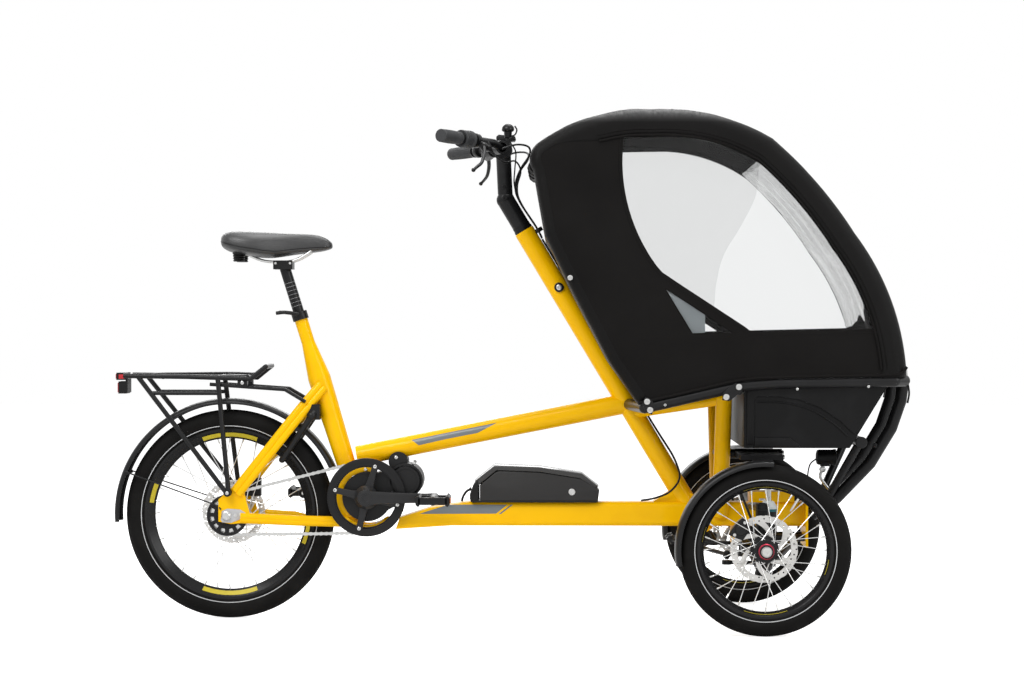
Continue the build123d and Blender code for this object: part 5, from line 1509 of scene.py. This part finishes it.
lamp_glass = coated("lamp_glass", (0.75, 0.77, 0.8), (0.6, 0.62, 0.66), 0.06, 0.02, Coat_Weight=0.8)
make_piece("head_lamp_glass",
           [turned([(803.6 - 757, 0.1), (804.2 - 757, 8), (804.6 - 757, 17.2), (803 - 757, 17.4),
                    (802.6 - 757, 0.1)], (757, 0, 402), (1, 0, 0), 40)], lamp_glass, "frame")
bracket = smooth_path([(776, 0, 384), (770, 0, 366), (768, 0, 352), (778, 0, 336), (795, 0, 314)], 8)
make_piece("head_lamp_bracket", [tube_run(bracket, [4.6] * 8 + [3.8] * (len(bracket) - 8), 12),
                                 socket_screw((773, -7, 372), near, 7.0, 4.0),
                                 turned([(-7, 7.5), (7, 7.5)], (773, 0, 372), (0, 1, 0), 24)],
           silver, "frame")
lamp_wire = smooth_path([(758, 2, 398), (744, 4, 386), (738, 5, 366), (736, 4, 340), (733, 2, 303)], 7)
make_piece("head_lamp_wire", [tube_run(lamp_wire, 1.7, 8)], deep_black, "frame")

# Leaning front suspension: a rocking beam over the main tube, two struts down to forged lower arms,
# and upper arms to the kingpins. The struts show a polished rod, a grey collar and a teal ring.
finish_node("tilt_rocker", satin_black)
finish_node("arms", satin_black)
strut_black = make_piece("strut_bodies", [
    turned([(176 - 176, 9), (190 - 176, 12), (225 - 176, 12), (228 - 176, 20), (272 - 176, 21.5),
            (280 - 176, 21.5),
            (280 - 176, 6)], (625, side * 150, 176), (0, 0, 1), 40) for side in (1, -1)] + [
    turned([(0, 10), (10, 13), (44, 13), (50, 9), (66, 9)], (625, side * 150, 346), (0, 0, 1), 32)
                for side in (1, -1)],
    satin_black, "frame", 30)
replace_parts(strut_black, "tilt_struts")
make_piece("strut_rods",
           [turned([(0, 6.5), (70, 6.5)], (625, side * 150, 280), (0, 0, 1), 28) for side in (1, -1)],
           silver, "frame", 30)
collar_grey = coated("collar_grey", (0.62, 0.65, 0.65), (0.5, 0.52, 0.52), 0.35, 0.08)
teal_ring = coated("teal_ring", (0.02, 0.13, 0.15), (0.02, 0.1, 0.12), 0.4, 0.08)
make_piece("strut_collars",
           [turned([(286 - 280, 7), (286 - 280, 20), (292 - 280, 20), (304 - 280, 13), (306 - 280, 7),
                    (286 - 280, 7)], (625, side * 150, 280), (0, 0, 1), 36) for side in (1, -1)],
           collar_grey, "frame", 30)
make_piece("strut_rings",
           [turned([(0, 7), (0, 21), (6, 20.5), (6, 7), (0, 7)], (625, side * 150, 280), (0, 0, 1), 36)
            for side in (1, -1)], teal_ring, "frame", 30)
pivot_bolts = [socket_screw((x, 0, 411), (direction, 0, 0), 8, 4) for x, direction in ((673, 1),)]
for side in (1, -1):
    pivot_bolts.append(socket_screw((660.5, side * 150, 411), (1, 0, 0), 5.5, 3.6))
    pivot_bolts.append(socket_screw((655.5, side * 151, 168), (1, 0, 0), 5.5, 3.6))
    for z in (314.5, 130.6):
        up = 1 if z > 200 else -1
        pivot_bolts.append(socket_screw((601, side * 250, z - (0 if up > 0 else 0)), (0, 0, up), 8.0, 4.0))
make_piece("suspension_bolts", pivot_bolts, silver, "frame")

# Knuckles: forged black uprights that carry the stub axle, the steering arm and the hydraulic
# caliper, whose round cap and silver bolts face outwards beside the disc.
for name, side in (("left", 1), ("right", -1)):
    finish_node(name + "_knuckle", satin_black)
    finish_node(name + "_tie_rod", satin_black)
    cap_at = Vector((601 + 72 * cos(radians(140)), side * 306.5, 202.5 + 72 * sin(radians(140))))
    make_piece(name + "_caliper_cap",
               [turned([(-4, 13.5), (0, 13.5), (1.6, 12), (1.7, 4), (0.8, 3.6), (0.8, 0.1)], cap_at,
                       (0, side, 0), 32)], motor_black, "knuckle_" + name, 30)
    caliper_bolts = [socket_screw((601 + 78 * cos(radians(a)), side * 306, 202.5 + 78 * sin(radians(a))),
                                  (0, side, 0), 4.0, 2.6) for a in (126, 154)]
    make_piece(name + "_caliper_bolts", caliper_bolts, silver, "knuckle_" + name)
    centre = Vector((601, side * 325, 202.5))
    guard = make_piece(name + "_mudguard_band", [guard_band(centre, 208.5, 31, 85, 190, 60)], guard_black,
                       "knuckle_" + name, 45)
    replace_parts(guard, name + "_mudguard")
    stays, stay_bolts = [], []
    for at_angle in (112, 172):
        turn = radians(at_angle)
        tip = centre + Vector((207 * cos(turn), -side * 30, 207 * sin(turn)))
        foot = Vector((601 + 24 * cos(turn), side * 268, 202.5 + 24 * sin(turn)))
        bend = tip + Vector((-10 * cos(turn), -side * 8, -10 * sin(turn)))
        stays.append(tube_run([foot, foot.lerp(bend, 0.5), bend, tip], 3.2, 10))
        stay_bolts.append(socket_screw(tip + Vector((0, side * 1.5, 0)), (0, -side, 0), 4.2, 3.0))
    make_piece(name + "_mudguard_stays", stays, satin_black, "knuckle_" + name)
    make_piece(name + "_mudguard_bolts", stay_bolts, silver, "knuckle_" + name)

# Steering: an adjustable black stem with two side bolts stands on the steering shaft, which turns in
# the leaning tube. The aluminium bar sweeps back to rubber grips.
finish_node("steering_column", satin_black)
finish_node("handlebar", satin_black)
finish_node("frame_hoses", deep_black)
stem_screws = [socket_screw((x, side * reach, z), (0, side, 0), size, 3.2) for side in (1, -1)
               for x, reach, z, size in ((-19.3, 18.0, 1073.6, 5.0), (-16.1, 21.8, 1045.8, 7.0))]
stem_screws += [socket_screw((-21 + 19.5, side * 17, 1166), (1, 0, 0), 3.4, 3) for side in (1, -1)]
make_piece("stem_screws", stem_screws, deep_black, "steering")
stem_rings = [turned([(-6, 15), (-6, 22.6), (4, 22.6), (5.5, 20), (5.5, 15), (-6, 15)], steer_axis_top
                     + steer_up * 12, steer_up, 40),
              turned([(0, 16), (0, 23.4), (5, 24), (5, 16), (0, 16)], steer_axis_top + steer_up * 1.0,
                     steer_up, 40)]
make_piece("stem_rings", stem_rings, deep_black, "steering", 30)

# Grips, levers and controls: rubber grips with fine ribs and ring clamps, a twist shifter on the
# right, forged brake levers with their fluid tanks, a domed bell and a small blank display.
grip_rubber = coated("grip_rubber", (0.045, 0.046, 0.048), (0.06, 0.06, 0.062), 0.6, 0.08, 900.0, 0.4)
bar_end = Vector((-160, 309, 1178))
bar_bend = Vector((-45, 97, 1176))
bar_in = (bar_bend - bar_end).normalized()
grip_parts, clamp_parts = [], []
for side in (1, -1):
    start = Vector((bar_end.x, side * bar_end.y, bar_end.z))
    along = Vector((bar_in.x, side * bar_in.y, bar_in.z))
    ribs = []
    length = 128 if side > 0 else 80
    for k in range(int(length / 4)):
        d = -1 + 4 * k
        swell = 15.3 + 1.0 * sin(pi * (d + 4) / length)
        ribs += [(d, swell), (d + 2.4, swell), (d + 2.8, swell - 0.8), (d + 3.6, swell - 0.8)]
    grip_parts.append(turned([(-3, 5.5), (-3, 14.5), (-1.8, 15.6)] + ribs
                             + [(length, 15.4), (length, 11.1)], start, along, 40))
    clamp_parts.append(turned([(length + 0.5, 11.2), (length + 0.5, 16.4), (length + 7, 16.4),
                               (length + 7, 11.2)], start, along, 36))
    if side < 0:
        twist = [(88, 12), (88, 20)]
        for k in range(9):
            d = 90 + 3.4 * k
            twist += [(d, 20.8), (d + 1.9, 20.8), (d + 2.2, 19.9), (d + 3.2, 19.9)]
        twist += [(121, 20.6), (123, 21.6), (131, 21.6), (132, 20), (132, 12)]
        grip_parts.append(turned(twist, start, along, 44))
grip_piece = make_piece("bar_grips", grip_parts, grip_rubber, "steering", 30)
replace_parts(grip_piece, "grips")
make_piece("grip_clamps", clamp_parts, satin_black, "steering", 30)
lever_parts, lever_blades = [], []
for side in (1, -1):
    at = Vector((bar_end.x, side * bar_end.y, bar_end.z))
    along = Vector((bar_in.x, side * bar_in.y, bar_in.z))
    clamp_at = at + along * 156
    lever_parts.append(turned([(-9, 11.2), (-9, 17), (-7, 18), (7, 18), (9, 17), (9, 11.2), (-9, 11.2)],
                              clamp_at, along, 36))
    body_a = at + along * 140 + Vector((28, side * 8, -16))
    body_b = at + along * 176 + Vector((22, side * -30, -14))
    lever_parts.append(tube_run([body_a, body_a.lerp(body_b, 0.08), body_a.lerp(body_b, 0.9), body_b],
                                [7, 10.5, 10, 7], 20))
    lever_parts.append(tube_run([clamp_at, clamp_at + Vector((14, side * 3, -9)), body_a.lerp(body_b, 0.3)],
                                [9, 8, 8], 16))
    tank = body_a.lerp(body_b, 0.5) + Vector((2, 0, 8))
    lever_parts.append(tube_run([tank - (body_b - body_a).normalized() * 17,
                                 tank + (body_b - body_a).normalized() * 15], [8, 7.2], 6))
    blade = smooth_path([body_a + Vector((2, 0, -2)), body_a + Vector((3, side * 22, -20)),
                         body_a + Vector((-2, side * 50, -42)), body_a + Vector((-12, side * 76, -54)),
                         body_a + Vector((-22, side * 88, -64))], 6)
    lever_blades.append(tube_run(blade, [5.2 - 0.07 * k for k in range(len(blade) - 3)] + [4.4, 5.4, 4.0],
                                 14))
levers = make_piece("lever_bodies", lever_parts, satin_black, "steering", 35)
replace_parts(levers, "brake_levers")
make_piece("lever_blades", lever_blades, satin_black, "steering", 35)

bell_parts = [turned([(-44, 5), (-24, 5), (-22, 9), (-8, 10), (-6, 14), (-3, 15.6), (2, 15.4), (7, 12.6),
                      (10.5, 8), (12, 3), (12.2, 0.1)], (-8, -62, 1214), (0, 0, 1), 40)]
bell = make_piece("bell_dome", bell_parts, rim_black, "steering", 30)
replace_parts(bell, "bar_controls")
bell_ring = turned([(-12, 12), (-12, 17.5), (12, 17.5), (12, 12), (-12, 12)], (-26, -64, 1167.5),
                   (-0.4, 0.9, 0.0), 32)
striker = tube_run(smooth_path([(-8, -62, 1195), (8, -66, 1198), (14, -68, 1210), (9, -66, 1220)], 5), 2.0,
                   8)
make_piece("bell_clamp", [bell_ring, striker], satin_black, "steering", 30)
screen_glass = coated("screen_glass", (0.012, 0.014, 0.016), (0.016, 0.018, 0.02), 0.08, 0.02,
                      Coat_Weight=0.6)
screen_body = [(-35, 1185), (8, 1187), (11, 1192), (9, 1199), (-33, 1203), (-38, 1198), (-38, 1189)]
make_piece("display_case",
           [flat_plate([screen_body], -21, 21, 2.4),
            turned([(-20, 19), (-20, 23), (-10, 23), (-10, 19), (-20, 19)], (-21, 0, 1166), (0, 1, 0), 36),
            turned([(10, 19), (10, 23), (20, 23), (20, 19), (10, 19)], (-21, 0, 1166), (0, 1, 0), 36)],
           satin_black, "steering", 30)
make_piece("display_glass",
           [flat_plate([[(-31, 1202.6), (6, 1199.2), (6, 1199.9), (-31, 1203.4)]], -17, 17, 0.2)],
           screen_glass, "steering", 30)
pad_at = Vector((-58, 118, 1172))
make_piece("switch_pad", [tube_run([pad_at, pad_at + Vector((12, -22, 0))], [19, 18], 24),
                          flat_plate([[(-52, 1176), (-24, 1178), (-22, 1192), (-50, 1194)]], 92, 116, 3.0)],
           satin_black, "steering", 30)

# Hoses: two black brake hoses, the shifter's cable and the display's lead leave the bar, loop ahead of
# the stem and gather at the steering tube's top, where they join the run down the tube.
HOSE_ROUTES = ((2.5, (-20, -128, 1160), (14, -112, 1171), (42, -70, 1169), (45, -30, 1152), (25, -13, 1122),
                (12, -9, 1092), (10, -7, 1066), (21, -6, 1036), (41, -4, 1005), (61, -3, 975),
                (76, -1, 946)),
               (2.5, (-20, 128, 1160), (12, 112, 1168), (38, 70, 1163), (40, 34, 1144), (23, 17, 1118),
                (12, 11, 1090), (10, 8, 1063), (22, 6, 1034), (42, 4, 1003), (62, 3, 973), (75, 2, 950)),
               (2.1, (-62, -128, 1164), (-20, -108, 1130), (10, -62, 1134), (23, -26, 1112),
                (15, -15, 1080), (16, -12, 1052), (29, -10, 1024), (50, -8, 992), (71, -6, 957)),
               (1.7, (-4, 0, 1186), (10, 8, 1162), (8, 12, 1122), (6, 14, 1084), (14, 12, 1052),
                (30, 9, 1022), (51, 7, 990), (70, 6, 959)))
hose_parts = [tube_run(smooth_path(route, 7), radius, 10) for radius, *route in HOSE_ROUTES]
make_piece("bar_hoses", hose_parts, deep_black, "steering")
gather_at = Vector((66, -1, 966))
make_piece("hose_clip",
           [turned([(-5, 5), (-5, 12), (5, 12), (5, 5), (-5, 5)], gather_at, (0.5, 0, -0.86), 24)],
           deep_black, "steering", 40)

# Bare decals: grey wedges and thin lines in film on both sides of the upper and the main tube, with
# the maker's word left off.
decal_grey = coated("decal_grey", (0.17, 0.19, 0.20), (0.14, 0.155, 0.165), 0.3, 0.05, Coat_Weight=0.4)


def tube_patch(outline, axis_from, axis_to, radius, side):
    """A thin film on a round tube's side, from an (x, z) outline, raised a little above the coat."""
    a, b = Vector(axis_from), Vector(axis_to)
    heading = (b - a).normalized()
    flank = Vector((-heading.z, 0, heading.x))
    rows = 10
    left = outline[:len(outline) // 2]
    right = list(reversed(outline[len(outline) // 2:]))
    points, faces = [], []
    for lift in (0.35, -0.5):
        for (lx, lz), (rx, rz) in zip(left, right):
            for k in range(rows + 1):
                spot = Vector((lx + (rx - lx) * k / rows, 0, lz + (rz - lz) * k / rows))
                off = (spot - a).dot(flank)
                off = max(-radius * 0.97, min(radius * 0.97, off))
                base = a + heading * (spot - a).dot(heading)
                out = sqrt(radius ** 2 - off ** 2)
                normal = (flank * off + Vector((0, side * out, 0))) / radius
                points.append(base + normal * (radius + lift))
    count = len(left)
    width = rows + 1
    for level in range(2):
        for r in range(count - 1):
            for k in range(rows):
                p = level * count * width + r * width + k
                face = (p, p + 1, p + 1 + width, p + width)
                faces.append(face if level else tuple(reversed(face)))
    return points, faces


upper_from, upper_to = (-385, 0, 404), (287.7, 0, 536)
decals = []
for side in (1, -1):
    decals.append(tube_patch([(-248, 445), (-165, 462), (-36, 488), (-84, 449), (-165, 434),
                              (-248, 441)][:3]
                             + [(-84, 463), (-165, 447), (-230, 432)], upper_from, upper_to, 25.0, side))
lower_decals = []
for side in (1, -1):
    low, high = sorted((side * 29.4, side * 30.35))
    lower_decals.append(flat_plate([[(-228, 262), (-158, 285), (-10, 285), (-38, 263)]], low, high, 0.1))
    lower_decals.append(flat_plate([[(-2, 285), (4, 285), (-26, 262), (-32, 262)]], low, high, 0.1))
make_piece("upper_decals", decals, decal_grey, "frame", 40)
make_piece("lower_decals", lower_decals, decal_grey, "frame", 30)
